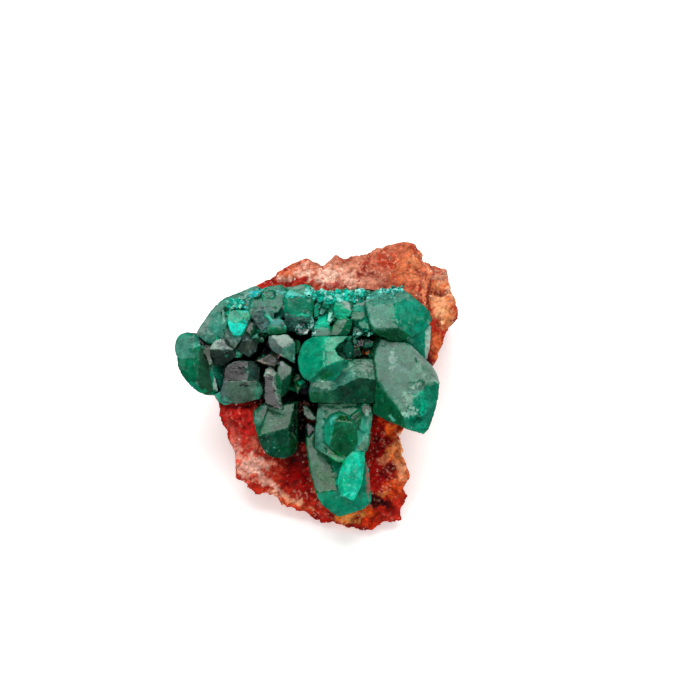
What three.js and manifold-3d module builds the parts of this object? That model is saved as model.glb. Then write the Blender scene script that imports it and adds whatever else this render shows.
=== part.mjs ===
// Dioptase crystals on a lump of rock, in millimetres, +Z up, resting on a flat sawn base.
//
// The crystal-bearing side of the rock slopes up and back at FACE_TILT from level. Everything that grew
// on it is laid out in the frame of that face: right, up the slope, and out, square to the face.
// A crystal is one convex solid. Its front is a main face with further faces that fall away from it at
// ridges, its sides are the walls of a prism that stands on its outline, and its root runs into the rock.
import * as THREE from 'three';
import { ConvexGeometry } from 'three/addons/geometries/ConvexGeometry.js';
import { ImprovedNoise } from 'three/addons/math/ImprovedNoise.js';
import { mergeVertices } from 'three/addons/utils/BufferGeometryUtils.js';
import Module from 'manifold-3d';

const wasm = await Module();
wasm.setup();

// ---- driving dimensions -------------------------------------------------------------------------

const FACE_TILT = 30; // degrees between the crystal-bearing face and the surface the rock stands on
const FACE_HEIGHT = 13; // height of the face frame's origin above that surface
const FACE_SETBACK = -1.11; // the same origin, front to back, from the middle of the base
const FACE_SHIFT = -0.14; // and side to side
const SEAT_GAP = 0.3; // clearance between a crystal and the rock, and between neighbouring clusters
const ROOT_LEVEL = -4; // how deep a crystal's root is cut before the rock takes its share
const CRUST_ROOT = -1.5; // the same for the crust that joins a cluster
const GROWTH_CENTRE = [0, 3]; // the crystals fan out from here
const FAN = 0.012; // and lean out by this much for every millimetre away from it

// Outline of the rock as seen square to its face, clockwise from the right, as [right, up].
const ROCK_OUTLINE = [
  [15.6, 0.5], [14.2, -2.6], [12.9, -5.2], [11.5, -6.9], [12.4, -9.6], [13.0, -11.5], [12.2, -14.2],
  [12.2, -16.4], [11.9, -18.2], [9.0, -18.9], [7.2, -20.1], [5.2, -19.6], [1.2, -19.2], [-0.6, -18.1],
  [-4.3, -16.6], [-6.6, -15.1], [-8.6, -14.3], [-11.0, -12.3], [-11.4, -9.8], [-12.3, -7.2],
  [-12.9, -5.0], [-13.9, -2.5], [-14.7, -0.6], [-15.0, 2.4], [-15.2, 5.0], [-14.6, 8.2], [-12.6, 11.4],
  [-9.6, 13.2], [-6.4, 15.1], [-3.9, 16.6], [-1.0, 17.7], [0.9, 17.1], [2.4, 18.2], [4.0, 17.9],
  [8.0, 18.9], [10.8, 20.0], [12.8, 20.2], [14.3, 19.1], [15.4, 17.1], [18.0, 15.8], [18.9, 13.2],
  [20.0, 10.2], [18.3, 7.6], [17.0, 4.3],
];
const ROCK_MIDDLE = [1.5, 0.5]; // the rings of the rock's skin are drawn around this point
const ROCK_SPOKES = 76; // points in each of the outer rings
const ROCK_FINE_RINGS = [4, 9]; // where the number of points doubles, from a quarter of that
const ROCK_FRONT_RINGS = 13;
const ROCK_SIDE_RINGS = 6;
const ROCK_RING_PACKING = 0.35; // 1 puts more rings near the middle, 0 more near the rim
const ROCK_BACK = 18.2; // how far back the rock reaches behind the middle of the base, where it broke off
const ROCK_BACK_LUMPS = 0.6; // height of the lumps on that back
const ROCK_SIDE_LUMPS = [1.1, 0.5]; // height of the large and the small lumps on the sides
const ROCK_SIDE_LUMP_SIZES = [4.2, 1.8]; // and how far across they are
const ROCK_SIDE_INSET = 0.9; // how far the sides stay inside the outline, on average
const ROCK_BELOW_BASE = 2.5; // how far the skin runs on under the base before it is cut

// ---- the rock's front -----------------------------------------------------------------------------

const noise = new ImprovedNoise();

/** Lumps and hollows about `size` across, between roughly -1 and 1. */
function lumps(x, y, z, size) {
  return 1.5 * noise.noise(x / size + 31.7, y / size + 12.3, z / size + 7.9);
}

/** 0 before `start`, 1 after `end`, with a smooth rise between. */
function rise(value, start, end) {
  return THREE.MathUtils.smoothstep(value, start, end);
}

/** A round bump or pit of depth 1 at `centre` that fades out at `radius`. */
function dimple(right, up, centre, radius) {
  return 1 - rise(Math.hypot(right - centre[0], up - centre[1]), 0, radius);
}

/** How far the rock's front stands out at a place on its face. */
function rockLevel(right, up) {
  const crest = 13.2 + 0.04 * right;
  const topSlope = -0.85 * Math.max(0, up - crest) * rise(up, crest - 1, crest + 2);
  const lowerSlope = -0.12 * Math.max(0, -3 - up);
  const rightLedge = -2.0 * rise(right, 15.0, 16.2) * rise(up, 3, 7);
  const leftFall = -0.22 * Math.max(0, -9 - right);
  const rightFall = -0.10 * Math.max(0, right - 11);
  const pit = -2.6 * dimple(right, up, [8.1, -16.2], 1.9);
  const crevice = -2.2 * dimple(right, up, [-2.2, -5.5], 3.4);
  const swell = 0.9 * dimple(right, up, [-8.5, -10.5], 5) + 0.8 * dimple(right, up, [10.6, -12], 4);
  const topStep = 1.1 * rise(up, 14.2, 15.0) * (1 - rise(right, -0.5, 2.5));
  const covered = 0.7 * rise(up, -3, 0) * (1 - rise(up, 11, 13.5));
  const rough = (1 - covered) * (0.75 * lumps(right, up, 0, 4.6) + 0.45 * lumps(right, up, 5, 1.9));
  const slopes = topSlope + lowerSlope + leftFall + rightFall;
  return slopes + rightLedge + pit + crevice + swell + topStep + rough;
}

// ---- the crystals ---------------------------------------------------------------------------------

// One entry for each crystal: `at` is a point on its main face as [right, up, out], `fall` is how far
// that face drops for each millimetre to the right and up. `edge` is its outline. A ridge is
// [right, up, right, up, drop]: beyond that line, on its right-hand side, the front falls away by `drop`
// more for each millimetre, from the main face or, with a sixth number, from that earlier ridge's face.
// `lean` is the way it points and `root` its own root level, where those aren't the usual ones.
const CLUSTERS = {
  centre_crystals: [
    { // the crust they stand on, here and in the other clusters
      at: [3, 2, 1.8], fall: [0.0, 0.0], root: CRUST_ROOT,
      edge: [[-1.0, -1.8], [7.9, -1.9], [8.6, 4.5], [8.4, 6.0], [5.0, 6.8], [-1.4, 6.0], [-2.2, 2.2]],
    },
    { // the bright one in the middle
      at: [2.5, 5.0, 7.6], fall: [0.0, 0.42],
      edge: [[-1.6, 1.2], [-0.8, 0.75], [2.2, 0.6], [3.3, 1.7], [4.3, 3.0], [4.9, 5.0], [4.75, 6.9],
        [-0.3, 6.85], [-1.5, 6.2], [-2.2, 5.0], [-2.45, 3.6], [-2.2, 2.2]],
      ridges: [[1.4, 7.0, 1.2, 2.7, 0.55], [1.6, 2.9, 4.3, 3.8, 1.1], [0.3, 0.4, 1.7, 2.9, 0.9, 1]],
    },
    { // the dark one that it grew over
      at: [5.0, -0.5, 6.2], fall: [0.0, -0.25],
      edge: [[-0.6, -2.2], [2.8, -2.35], [8.1, -2.3], [8.5, 0.9], [8.3, 3.7], [5.2, 3.7], [2.0, 2.6],
        [-0.5, 0.9], [-0.95, -0.5]],
      ridges: [[8.4, 1.0, 2.9, 1.5, 0.85], [2.1, 0.8, 2.1, -2.4, 0.35], [2.1, -0.8, -0.6, -0.8, 0.6, 2]],
    },
    { // the striped one in the pocket
      at: [4.9, 5.0, 4.6], fall: [0.15, 0.4],
      edge: [[3.6, 4.4], [4.8, 3.9], [6.2, 4.5], [6.1, 5.3], [4.7, 5.9], [3.7, 5.5]],
      ridges: [[3.6, 4.9, 6.2, 5.2, 0.7]],
    },
    { at: [5.1, 6.2, 4.7], fall: [0.3, 0.4],
      edge: [[4.6, 5.7], [5.4, 5.5], [5.7, 6.3], [5.2, 7.0], [4.7, 6.9]] },
    { at: [6.6, 5.9, 3.4], fall: [0.2, 0.4],
      edge: [[5.9, 5.6], [6.9, 5.3], [7.3, 6.1], [6.5, 6.7], [5.9, 6.4]] },
    { at: [7.7, 5.1, 2.6], fall: [0.0, 0.5],
      edge: [[7.0, 4.4], [8.3, 4.2], [8.6, 5.2], [7.6, 5.9], [6.9, 5.3]] },
  ],
  top_right_crystals: [
    {
      at: [6, 10, 2.0], fall: [0.0, 0.08], root: CRUST_ROOT,
      edge: [[-0.2, 7.3], [8.0, 7.2], [14.5, 8.2], [13.5, 12.2], [7.4, 13.5], [0.8, 13.3], [-0.1, 11.0]],
    },
    { // the big one
      at: [9.3, 9.7, 6.2], fall: [-0.05, 0.4],
      edge: [[7.3, 9.8], [8.1, 7.6], [10.4, 6.45], [11.8, 6.3], [13.5, 6.95], [15.4, 8.1], [16.1, 9.2],
        [15.85, 10.4], [15.2, 11.15], [13.0, 12.9], [12.2, 13.45], [8.6, 13.5], [7.2, 12.6], [6.9, 11.6]],
      ridges: [[11.3, 8.2, 10.5, 11.7, 0.42], [15.2, 11.1, 6.9, 11.7, 0.75], [8.0, 7.95, 12.6, 8.1, 1.2],
        [12.0, 8.0, 15.6, 9.9, 0.45, 1]],
    },
    { // the prism under it
      at: [14.3, 5.8, 4.3], fall: [0.1, -0.2],
      edge: [[14.3, 3.9], [14.9, 3.65], [15.45, 3.8], [15.85, 5.4], [16.0, 8.4], [12.4, 8.0], [12.2, 6.4]],
      ridges: [[15.25, 3.9, 15.25, 7.9, 1.1]],
    },
    { at: [3.7, 10.7, 4.4], fall: [0.05, 0.12], // the round green one over the centre
      edge: [[2.6, 10.3], [3.1, 9.7], [3.9, 9.45], [4.6, 9.7], [4.95, 10.5], [4.9, 11.3], [4.3, 11.8],
        [3.4, 12.0], [2.7, 11.7], [2.5, 11.0]],
      ridges: [[4.9, 10.5, 3.1, 11.9, 0.6], [2.6, 10.4, 4.8, 10.0, 0.7]] },
    { at: [3.1, 8.1, 5.0], fall: [-0.15, 0.4],
      edge: [[1.65, 7.0], [2.7, 6.65], [3.8, 6.85], [4.7, 7.4], [4.95, 8.4], [4.9, 9.25], [4.2, 9.35],
        [3.0, 9.2], [2.3, 8.3]],
      ridges: [[2.8, 6.7, 4.3, 8.8, 0.9]] },
    { at: [0.8, 7.5, 5.0], fall: [0.0, 0.42], // the turquoise one that leans over the centre
      edge: [[-0.6, 6.8], [1.6, 6.8], [1.85, 8.0], [1.95, 9.4], [1.7, 10.15], [1.0, 10.2], [0.4, 9.7],
        [0.0, 8.7]],
      ridges: [[1.9, 8.1, -0.1, 8.1, 0.45]] },
    { at: [5.9, 9.7, 4.2], fall: [0.0, 0.45],
      edge: [[5.0, 9.5], [5.5, 9.1], [6.4, 9.3], [7.0, 9.9], [6.2, 10.3], [5.1, 10.2]] },
    { at: [6.2, 11.0, 3.9], fall: [0.05, 0.1],
      edge: [[5.1, 10.6], [7.2, 10.3], [7.5, 11.3], [6.9, 11.8], [5.3, 11.3]] },
    { at: [6.8, 8.6, 4.2], fall: [0.05, 0.45],
      edge: [[5.9, 8.6], [6.4, 8.05], [7.5, 8.0], [8.1, 8.4], [7.3, 8.9], [6.6, 9.3], [6.0, 9.1]] },
    { at: [7.4, 7.6, 3.8], fall: [0.0, -0.2],
      edge: [[6.8, 7.4], [7.3, 7.05], [8.0, 7.3], [8.2, 8.0], [7.1, 8.1]] },
    { at: [5.7, 7.6, 3.6], fall: [-0.1, 0.3],
      edge: [[5.1, 7.3], [5.7, 6.9], [6.5, 7.2], [6.4, 8.0], [5.4, 8.4]] },
    { at: [2.0, 9.6, 4.0], fall: [0.1, 0.45],
      edge: [[1.6, 9.1], [2.2, 8.9], [2.6, 9.6], [2.4, 10.2], [1.8, 10.3]] },
    { at: [1.1, 10.8, 3.7], fall: [0.3, 0.4],
      edge: [[0.5, 10.0], [1.0, 10.0], [1.7, 11.2], [1.6, 11.6], [0.9, 11.4]] },
    { at: [0.1, 10.5, 3.6], fall: [0.4, 0.1],
      edge: [[-0.2, 9.6], [0.3, 9.8], [0.6, 11.2], [0.2, 11.6], [-0.2, 11.2]] },
  ],
  right_crystal: [
    {
      at: [11.5, 1.5, 7.2], fall: [-0.02, 0.4], lean: [0.25, -0.12], root: -2.5,
      edge: [[8.15, 4.2], [8.0, -3.7], [10.0, -4.8], [12.8, -5.9], [14.9, -6.6], [15.6, -6.0],
        [16.3, -4.2], [16.95, -1.8], [17.15, 0.3], [16.8, 1.7], [16.0, 3.0], [12.8, 6.05], [9.1, 6.6]],
      ridges: [[15.9, 0.6, 13.2, 5.3, 0.9], [8.2, 1.2, 12.0, -3.9, 1.3], [12.0, -4.2, 15.9, 0.9, 0.7]],
    },
  ],
  long_crystal: [
    { // the one behind, under the dark crystal
      at: [1.5, -5.0, 5.2], fall: [-0.05, 0.35],
      edge: [[0.4, -2.2], [0.0, -6.0], [-0.1, -8.5], [3.0, -10.5], [6.5, -10.0], [7.4, -8.0], [7.8, -4.0],
        [7.9, -2.2]],
      ridges: [[0.9, -2.0, 1.4, -9.5, 0.35], [5.4, -9.0, 6.0, -2.0, 0.4]],
    },
    { // the long one in front
      at: [1.2, -12.5, 5.6], fall: [-0.1, 0.38], lean: [0.03, -0.2],
      edge: [[-1.35, -7.2], [-1.3, -8.4], [-0.6, -12.8], [0.3, -15.4], [0.9, -16.5], [2.1, -17.45],
        [3.2, -18.15], [6.6, -17.1], [7.7, -16.0], [7.4, -12.0], [6.4, -9.0], [1.0, -7.2], [-0.6, -6.8]],
      ridges: [[-0.3, -15.0, 4.0, -14.4, 0.95], [3.0, -14.4, 2.0, -9.0, 0.5], [6.7, -17, 6.9, -9, 0.8]],
    },
    { // the round one on it
      at: [3.9, -6.9, 7.3], fall: [0.05, -0.08],
      edge: [[2.0, -8.4], [3.2, -9.4], [4.3, -9.8], [5.3, -8.9], [5.8, -7.6], [5.75, -6.2], [5.2, -5.0],
        [4.4, -4.15], [3.2, -3.9], [2.2, -4.3], [1.4, -5.3], [1.05, -6.5], [1.2, -7.4]],
      ridges: [[2.7, -4.6, 1.9, -8.5, 0.75], [5.4, -5.1, 2.6, -4.8, 0.9]],
    },
    { // the turquoise one on it
      at: [5.0, -12.3, 7.6], fall: [-0.05, 0.12],
      edge: [[3.1, -14.0], [3.5, -14.9], [4.6, -15.6], [5.2, -15.85], [5.8, -14.9], [6.4, -13.3],
        [6.8, -10.5], [6.7, -9.5], [6.1, -9.15], [5.0, -9.25], [4.2, -10.1], [3.5, -11.6], [3.05, -13.2]],
      ridges: [[5.3, -15.8, 6.0, -9.0, 0.6], [4.4, -9.4, 3.6, -15.2, 0.45]],
    },
    { at: [-1.0, -4.0, 3.6], fall: [0.1, 0.4], lean: [-0.35, 0.0], // two splinters in the gap beside them
      edge: [[-1.75, -2.8], [-1.65, -3.9], [-1.1, -4.5], [-0.5, -4.75], [0.0, -4.6], [-0.6, -3.6],
        [-1.2, -2.9]] },
    { at: [-0.9, -6.0, 3.3], fall: [0.0, 0.4], lean: [-0.3, 0.0],
      edge: [[-1.4, -5.3], [-1.3, -6.6], [-1.0, -6.9], [-0.3, -6.3], [-0.3, -5.8], [-0.9, -5.1]] },
    { at: [6.5, -7.6, 6.0], fall: [0.15, 0.42],
      edge: [[5.6, -7.5], [6.1, -9.0], [7.2, -8.9], [7.6, -7.0], [7.0, -6.3], [5.9, -6.1]] },
    { at: [6.4, -4.9, 5.8], fall: [0.1, 0.2],
      edge: [[5.2, -5.3], [6.7, -6.4], [7.7, -5.6], [7.9, -3.8], [6.2, -3.3], [5.0, -4.1]],
      ridges: [[6.3, -6.4, 6.5, -3.2, 0.6]] },
    { at: [7.0, -3.2, 6.3], fall: [0.0, 0.4],
      edge: [[6.3, -3.4], [6.7, -4.1], [7.5, -4.0], [7.8, -3.2], [7.5, -2.6], [6.9, -2.4], [6.4, -2.7]] },
  ],
  stub_crystals: [
    { at: [-7.6, -3.9, 3.9], fall: [-0.15, 0.38], // the one behind
      edge: [[-8.75, -3.6], [-8.35, -6.0], [-8.1, -7.0], [-7.0, -6.4], [-6.0, -3.0], [-7.0, -2.4],
        [-7.9, -2.9]],
      ridges: [[-8.8, -4.9, -7.0, -5.0, 0.7]] },
    { at: [-5.3, -4.6, 5.6], fall: [-0.05, 0.4], // the one in front
      edge: [[-7.95, -7.0], [-7.6, -8.2], [-7.1, -9.1], [-6.3, -9.7], [-5.4, -10.0], [-4.5, -10.0],
        [-3.3, -9.6], [-2.75, -8.9], [-2.7, -2.3], [-4.2, -2.6], [-6.3, -2.9], [-6.6, -3.3]],
      ridges: [[-8.0, -6.95, -3.8, -5.85, 0.8], [-3.95, -6.2, -2.95, -2.4, 1.2],
        [-3.6, -10.0, -3.6, -6.0, 0.5, 1]] },
  ],
  middle_crystals: [
    {
      at: [-4, 2, 1.7], fall: [0.0, 0.0], root: CRUST_ROOT,
      edge: [[-8.2, 3.5], [-5.4, -2.9], [-2.4, -1.3], [-1.0, 0.2], [-2.2, 6.2], [-3.9, 7.1], [-6.4, 6.8]],
    },
    { at: [-6.1, -0.3, 5.5], fall: [-0.05, 0.42], // the long pale one
      edge: [[-7.15, -2.25], [-6.0, -2.9], [-4.95, -3.25], [-4.6, -3.0], [-5.2, 0.0], [-5.6, 1.9],
        [-6.0, 2.5], [-6.5, 2.65], [-7.0, 2.3], [-7.2, 1.6]],
      ridges: [[-5.6, 1.3, -7.2, 1.5, 0.35], [-4.9, -3.2, -6.1, 2.0, 0.5]] },
    { at: [-4.5, 2.3, 5.8], fall: [0.0, 0.46], // the one with a whitish rhomb
      edge: [[-5.5, 1.6], [-5.15, -0.9], [-4.6, -1.3], [-4.0, -0.6], [-3.6, 1.0], [-3.35, 2.5],
        [-4.65, 3.5], [-4.95, 3.4]],
      ridges: [[-5.7, 1.9, -4.7, 0.75, 1.0], [-4.7, 0.75, -3.3, 1.9, 1.1]] },
    { at: [-6.6, 3.7, 4.2], fall: [0.0, 0.3],
      edge: [[-8.4, 3.5], [-7.6, 3.2], [-5.7, 2.5], [-5.1, 3.6], [-5.2, 4.3], [-5.7, 4.6], [-6.4, 4.5]] },
    { at: [-4.6, 6.4, 5.6], fall: [0.05, 0.46], // the one with the brightest face
      edge: [[-6.6, 6.0], [-6.2, 5.1], [-4.9, 4.3], [-3.9, 3.7], [-3.1, 3.3], [-2.85, 4.4], [-2.9, 6.1],
        [-3.9, 7.25], [-5.0, 7.15], [-6.5, 6.95]],
      ridges: [[-6.1, 7.0, -4.6, 5.3, 0.85], [-4.6, 5.3, -3.0, 6.05, 0.8]] },
    { at: [-2.6, 5.6, 4.2], fall: [0.3, 0.2],
      edge: [[-3.0, 4.8], [-2.5, 4.6], [-2.1, 5.8], [-2.4, 6.4], [-2.9, 6.3]] },
    { at: [-2.5, 0.6, 3.2], fall: [-0.1, 0.4],
      edge: [[-3.1, 0.6], [-2.6, -1.0], [-2.1, -0.3], [-1.9, 0.8], [-2.2, 1.6], [-2.9, 1.7]] },
    { at: [-1.5, 0.0, 2.6], fall: [0.1, 0.1],
      edge: [[-2.2, -0.4], [-1.7, -1.1], [-1.0, -0.8], [-0.9, 0.6], [-1.5, 1.0], [-2.1, 0.6]] },
  ],
  left_block: [
    { at: [-11.0, 1.9, 4.5], fall: [-0.05, 0.3],
      edge: [[-12.8, 0.2], [-9.0, 0.0], [-7.9, 1.0], [-8.0, 2.9], [-8.6, 3.35], [-10.2, 3.55],
        [-11.2, 3.5], [-12.2, 3.0], [-12.8, 2.3]],
      ridges: [[-9.35, -0.2, -9.5, 3.6, 0.6]] },
    { at: [-10.2, -1.0, 5.2], fall: [0.0, 0.14],
      edge: [[-13.3, -0.9], [-12.9, -2.2], [-12.0, -2.45], [-10.4, -2.35], [-7.8, -1.7], [-7.35, -0.8],
        [-7.6, 0.2], [-8.3, 0.8], [-12.8, 0.6]],
      ridges: [[-12.4, 0.8, -12.2, -2.6, 0.6], [-8.7, -2.2, -8.2, 0.9, 0.35]] },
    { at: [-13.2, -1.6, 3.4], fall: [-0.25, 0.15],
      edge: [[-14.2, -1.2], [-13.6, -2.1], [-12.8, -2.6], [-12.0, -2.4], [-12.5, -0.8], [-13.3, -0.8]] },
  ],
  tip_crystals: [
    { at: [-18.1, 5.9, 2.9], fall: [-0.25, 0.2], lean: [-0.75, 0.1], // the upper of the two tips
      edge: [[-19.5, 4.4], [-18.9, 3.9], [-16.0, 4.0], [-15.8, 5.6], [-16.3, 6.9], [-17.0, 7.25],
        [-18.0, 7.5], [-18.9, 7.2], [-19.5, 6.5], [-19.7, 5.6]],
      ridges: [[-16.9, 3.5, -17.1, 7.4, 0.6], [-17.0, 7.0, -19.6, 6.3, 0.5]] },
    { at: [-17.6, 2.6, 3.5], fall: [-0.3, 0.12], lean: [-0.75, 0.0], // and the lower
      edge: [[-19.35, 3.2], [-19.0, 2.2], [-17.3, -0.1], [-16.4, -0.75], [-15.0, -1.25], [-14.3, -0.7],
        [-14.8, 2.0], [-15.2, 4.4], [-16.0, 5.6], [-18.3, 4.9], [-19.3, 4.0]],
      ridges: [[-16.6, 0.2, -16.2, 5.3, 0.75], [-17.5, 0.7, -14.5, -0.3, 0.8]] },
    { at: [-15.4, 5.4, 3.2], fall: [0.0, 0.35], // the thin ridge beside them
      edge: [[-16.6, 7.35], [-15.3, 3.9], [-14.9, 3.0], [-14.5, 3.2], [-14.7, 5.8], [-15.7, 7.0]] },
    { at: [-14.4, 1.0, 2.7], fall: [-0.1, 0.3],
      edge: [[-15.0, 3.4], [-15.1, 1.0], [-14.3, -0.3], [-13.2, -1.1], [-13.0, -0.5], [-14.0, 1.0],
        [-14.4, 3.2]] },
  ],
  shoulder_crystals: [
    {
      at: [-8, 9, 2.0], fall: [-0.05, 0.08], root: CRUST_ROOT,
      edge: [[-14.7, 7.2], [-13.8, 3.6], [-9.2, 4.4], [-6.9, 7.2], [-0.6, 7.9], [-0.3, 13.4],
        [-4.0, 13.8], [-8.8, 13.1], [-12.2, 11.3]],
    },
    { at: [-14.3, 9.5, 3.4], fall: [-0.3, 0.35], lean: [-0.45, 0.3],
      edge: [[-16.7, 7.3], [-15.4, 6.3], [-14.5, 6.05], [-13.0, 6.9], [-12.4, 8.6], [-12.2, 10.5],
        [-12.3, 12.1], [-13.1, 12.0], [-14.0, 11.2], [-15.0, 10.0], [-16.2, 8.2]],
      ridges: [[-15.3, 6.6, -12.5, 9.0, 0.85]] },
    { at: [-11.0, 9.6, 4.9], fall: [0.0, 0.35], // the brightest turquoise one
      edge: [[-12.25, 9.4], [-12.0, 8.0], [-11.6, 7.3], [-11.0, 7.0], [-10.4, 7.15], [-9.95, 7.9],
        [-9.3, 9.2], [-9.2, 10.0], [-9.5, 10.5], [-11.2, 10.6], [-12.1, 10.4]],
      ridges: [[-12.2, 8.9, -9.7, 8.9, 0.5]] },
    { at: [-13.2, 5.8, 4.3], fall: [0.0, 0.47], // white on top, dark below
      edge: [[-14.3, 3.0], [-12.8, 2.9], [-11.2, 4.2], [-11.6, 5.3], [-12.6, 6.6], [-13.5, 6.6],
        [-14.3, 6.1], [-14.7, 5.3]],
      ridges: [[-14.6, 5.1, -11.5, 5.05, 1.3]] },
    { at: [-11.8, 6.8, 4.6], fall: [-0.2, 0.3],
      edge: [[-12.85, 7.1], [-12.3, 6.0], [-11.2, 5.2], [-10.4, 6.6], [-10.8, 7.7], [-12.1, 8.05]] },
    { at: [-9.5, 5.9, 4.0], fall: [0.15, -0.1],
      edge: [[-11.0, 5.2], [-9.2, 4.05], [-8.3, 5.3], [-7.9, 6.6], [-8.6, 7.4], [-10.2, 7.4],
        [-10.9, 6.4]],
      ridges: [[-9.3, 4.0, -9.0, 7.5, 0.6], [-8.0, 6.4, -10.9, 6.2, 0.5]] },
    { at: [-9.2, 8.0, 4.5], fall: [-0.1, 0.4],
      edge: [[-9.95, 7.7], [-9.0, 7.05], [-8.1, 7.7], [-8.2, 8.3], [-8.9, 8.9], [-9.7, 8.9]],
      ridges: [[-9.0, 7.1, -8.7, 9.0, 0.9]] },
    { at: [-6.8, 12.2, 3.7], fall: [-0.1, 0.45], // the broad grey one at the top
      edge: [[-9.3, 10.4], [-5.2, 10.3], [-4.4, 12.0], [-4.2, 13.4], [-4.8, 14.1], [-6.5, 13.95],
        [-8.0, 13.3], [-9.0, 12.0]] },
    { at: [-7.6, 9.4, 4.5], fall: [-0.1, 0.15],
      edge: [[-8.3, 8.6], [-7.6, 7.4], [-6.7, 7.2], [-6.3, 8.0], [-6.0, 9.4], [-5.1, 10.4],
        [-5.4, 10.9], [-8.8, 10.8], [-9.3, 10.0]],
      ridges: [[-9.0, 8.9, -6.0, 9.2, 0.3]] },
    { at: [-10.5, 12.6, 2.2], fall: [-0.1, 0.6], lean: [-0.3, 0.3],
      edge: [[-13.2, 11.7], [-12.3, 11.4], [-8.3, 13.1], [-7.9, 13.8], [-8.6, 13.95], [-12.9, 12.2]] },
    { at: [-9.3, 11.5, 3.4], fall: [0.0, 0.3],
      edge: [[-10.1, 11.0], [-9.3, 10.6], [-8.6, 11.0], [-8.6, 11.8], [-9.7, 12.1]] },
    { at: [-11.7, 11.4, 3.2], fall: [0.0, 0.4],
      edge: [[-12.4, 11.3], [-12.0, 10.7], [-10.9, 10.9], [-10.8, 11.8], [-12.0, 12.1]] },
    { at: [-2.4, 11.3, 5.5], fall: [0.05, 0.15], // the round green one at the top
      edge: [[-4.0, 7.7], [-2.8, 7.6], [-1.1, 8.4], [-0.5, 9.8], [-0.25, 11.5], [-0.2, 13.2],
        [-0.8, 14.1], [-2.0, 14.15], [-3.2, 13.8], [-4.2, 13.0], [-4.45, 11.6], [-4.3, 9.5]],
      ridges: [[-0.3, 12.9, -4.2, 12.7, 0.55], [-4.3, 10.1, -0.6, 9.85, 1.3], [-3.9, 13, -4, 9.9, 0.6],
        [-0.7, 9.7, -0.8, 13.1, 0.6]] },
    { at: [-5.3, 8.6, 5.3], fall: [-0.1, 0.25],
      edge: [[-6.6, 7.3], [-5.8, 7.0], [-4.8, 7.05], [-4.2, 7.3], [-4.05, 8.2], [-4.4, 9.0],
        [-5.1, 9.4], [-5.7, 9.4], [-6.3, 9.0], [-6.7, 8.2]],
      ridges: [[-6.8, 7.9, -4.0, 8.0, 0.9]] },
    { at: [-6.6, 9.5, 4.9], fall: [-0.1, 0.4],
      edge: [[-7.2, 9.9], [-6.9, 9.6], [-6.2, 8.95], [-5.9, 9.1], [-6.5, 10.0], [-6.9, 10.15]] },
    { at: [-1.9, 8.1, 4.7], fall: [0.1, 0.4],
      edge: [[-2.9, 7.7], [-2.3, 7.2], [-1.2, 7.4], [-1.0, 8.3], [-1.9, 8.9], [-2.7, 8.7]] },
    { at: [-0.7, 8.5, 4.2], fall: [0.2, 0.4],
      edge: [[-1.2, 8.2], [-0.7, 7.9], [-0.3, 8.3], [-0.3, 9.0], [-1.0, 9.1]] },
  ],
};

// Fine druse along the top of the crystal-bearing face: [cluster, from, to, count, out].
const DRUSE_RUNS = [
  ['top_right_crystals', [1.2, 12.7], [6.6, 12.4], 13, 2.6],
  ['top_right_crystals', [9.4, 13.2], [12.0, 13.3], 6, 2.7],
  ['shoulder_crystals', [-0.9, 13.5], [0.6, 12.6], 6, 2.6],
  ['shoulder_crystals', [-12.4, 11.5], [-8.0, 13.1], 6, 2.2],
];
const DRUSE_SIZE = [0.45, 0.85]; // half the width of the smallest and the largest
const DRUSE_SPREAD = [0.35, 0.7]; // how far they stray from the run, right and up
const DRUSE_DEPTH = 0.4; // how much lower than the rest some of them end
const DRUSE_SEED = 41;
const SPROUT_SIDES = 5;
const SPROUT_ROUNDNESS = 0.75; // height of a small crystal's outline over its width
const SPROUT_FALL = [0.3, 0.8]; // steepest fall of its main face, right and up
const SPROUT_DROP = 0.9; // the drop of its other face

// ---- solids ---------------------------------------------------------------------------------------

const POINT_ON_PLANE = 1e-6; // mm, how close a corner lies to the faces that meet in it
const SAME_POINT = 1e-5; // mm, corners closer than this are one corner

/** Everything on the inner side of the plane through `point` with outward `normal`. */
function halfSpace(normal, point) {
  const outward = normal.clone().normalize();
  return { outward, reach: outward.dot(point) };
}

/** The corner where three planes meet, or null where they don't. */
function meet(a, b, c) {
  const bc = new THREE.Vector3().crossVectors(b.outward, c.outward);
  const ca = new THREE.Vector3().crossVectors(c.outward, a.outward);
  const ab = new THREE.Vector3().crossVectors(a.outward, b.outward);
  const size = a.outward.dot(bc);
  if (Math.abs(size) < POINT_ON_PLANE) return null;
  return bc.multiplyScalar(a.reach).addScaledVector(ca, b.reach).addScaledVector(ab, c.reach)
    .divideScalar(size);
}

/** The geometry of the convex solid that lies inside all the half-spaces. */
function convexGeometry(spaces) {
  const corners = [];
  for (let i = 0; i < spaces.length; i += 1) {
    for (let j = i + 1; j < spaces.length; j += 1) {
      for (let k = j + 1; k < spaces.length; k += 1) {
        const corner = meet(spaces[i], spaces[j], spaces[k]);
        const inside = corner && spaces.every((s) => s.outward.dot(corner) < s.reach + POINT_ON_PLANE);
        if (inside) corners.push(corner);
      }
    }
  }
  return new ConvexGeometry(corners);
}

/** A closed three.js geometry as a solid that can be joined and cut. */
function toSolid(geometry) {
  const bare = geometry.clone();
  bare.deleteAttribute('normal');
  bare.deleteAttribute('uv');
  const merged = mergeVertices(bare, SAME_POINT);
  return new wasm.Manifold(new wasm.Mesh({
    numProp: 3,
    vertProperties: Float32Array.from(merged.attributes.position.array),
    triVerts: Uint32Array.from(merged.index.array),
  }));
}

/** A solid as a three.js geometry with flat faces. */
function toGeometry(solid) {
  const mesh = solid.getMesh();
  const indexed = new THREE.BufferGeometry();
  indexed.setAttribute('position', new THREE.BufferAttribute(Float32Array.from(mesh.vertProperties), 3));
  indexed.setIndex(new THREE.BufferAttribute(Uint32Array.from(mesh.triVerts), 1));
  const geometry = indexed.toNonIndexed();
  geometry.computeVertexNormals();
  return geometry;
}

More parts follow.
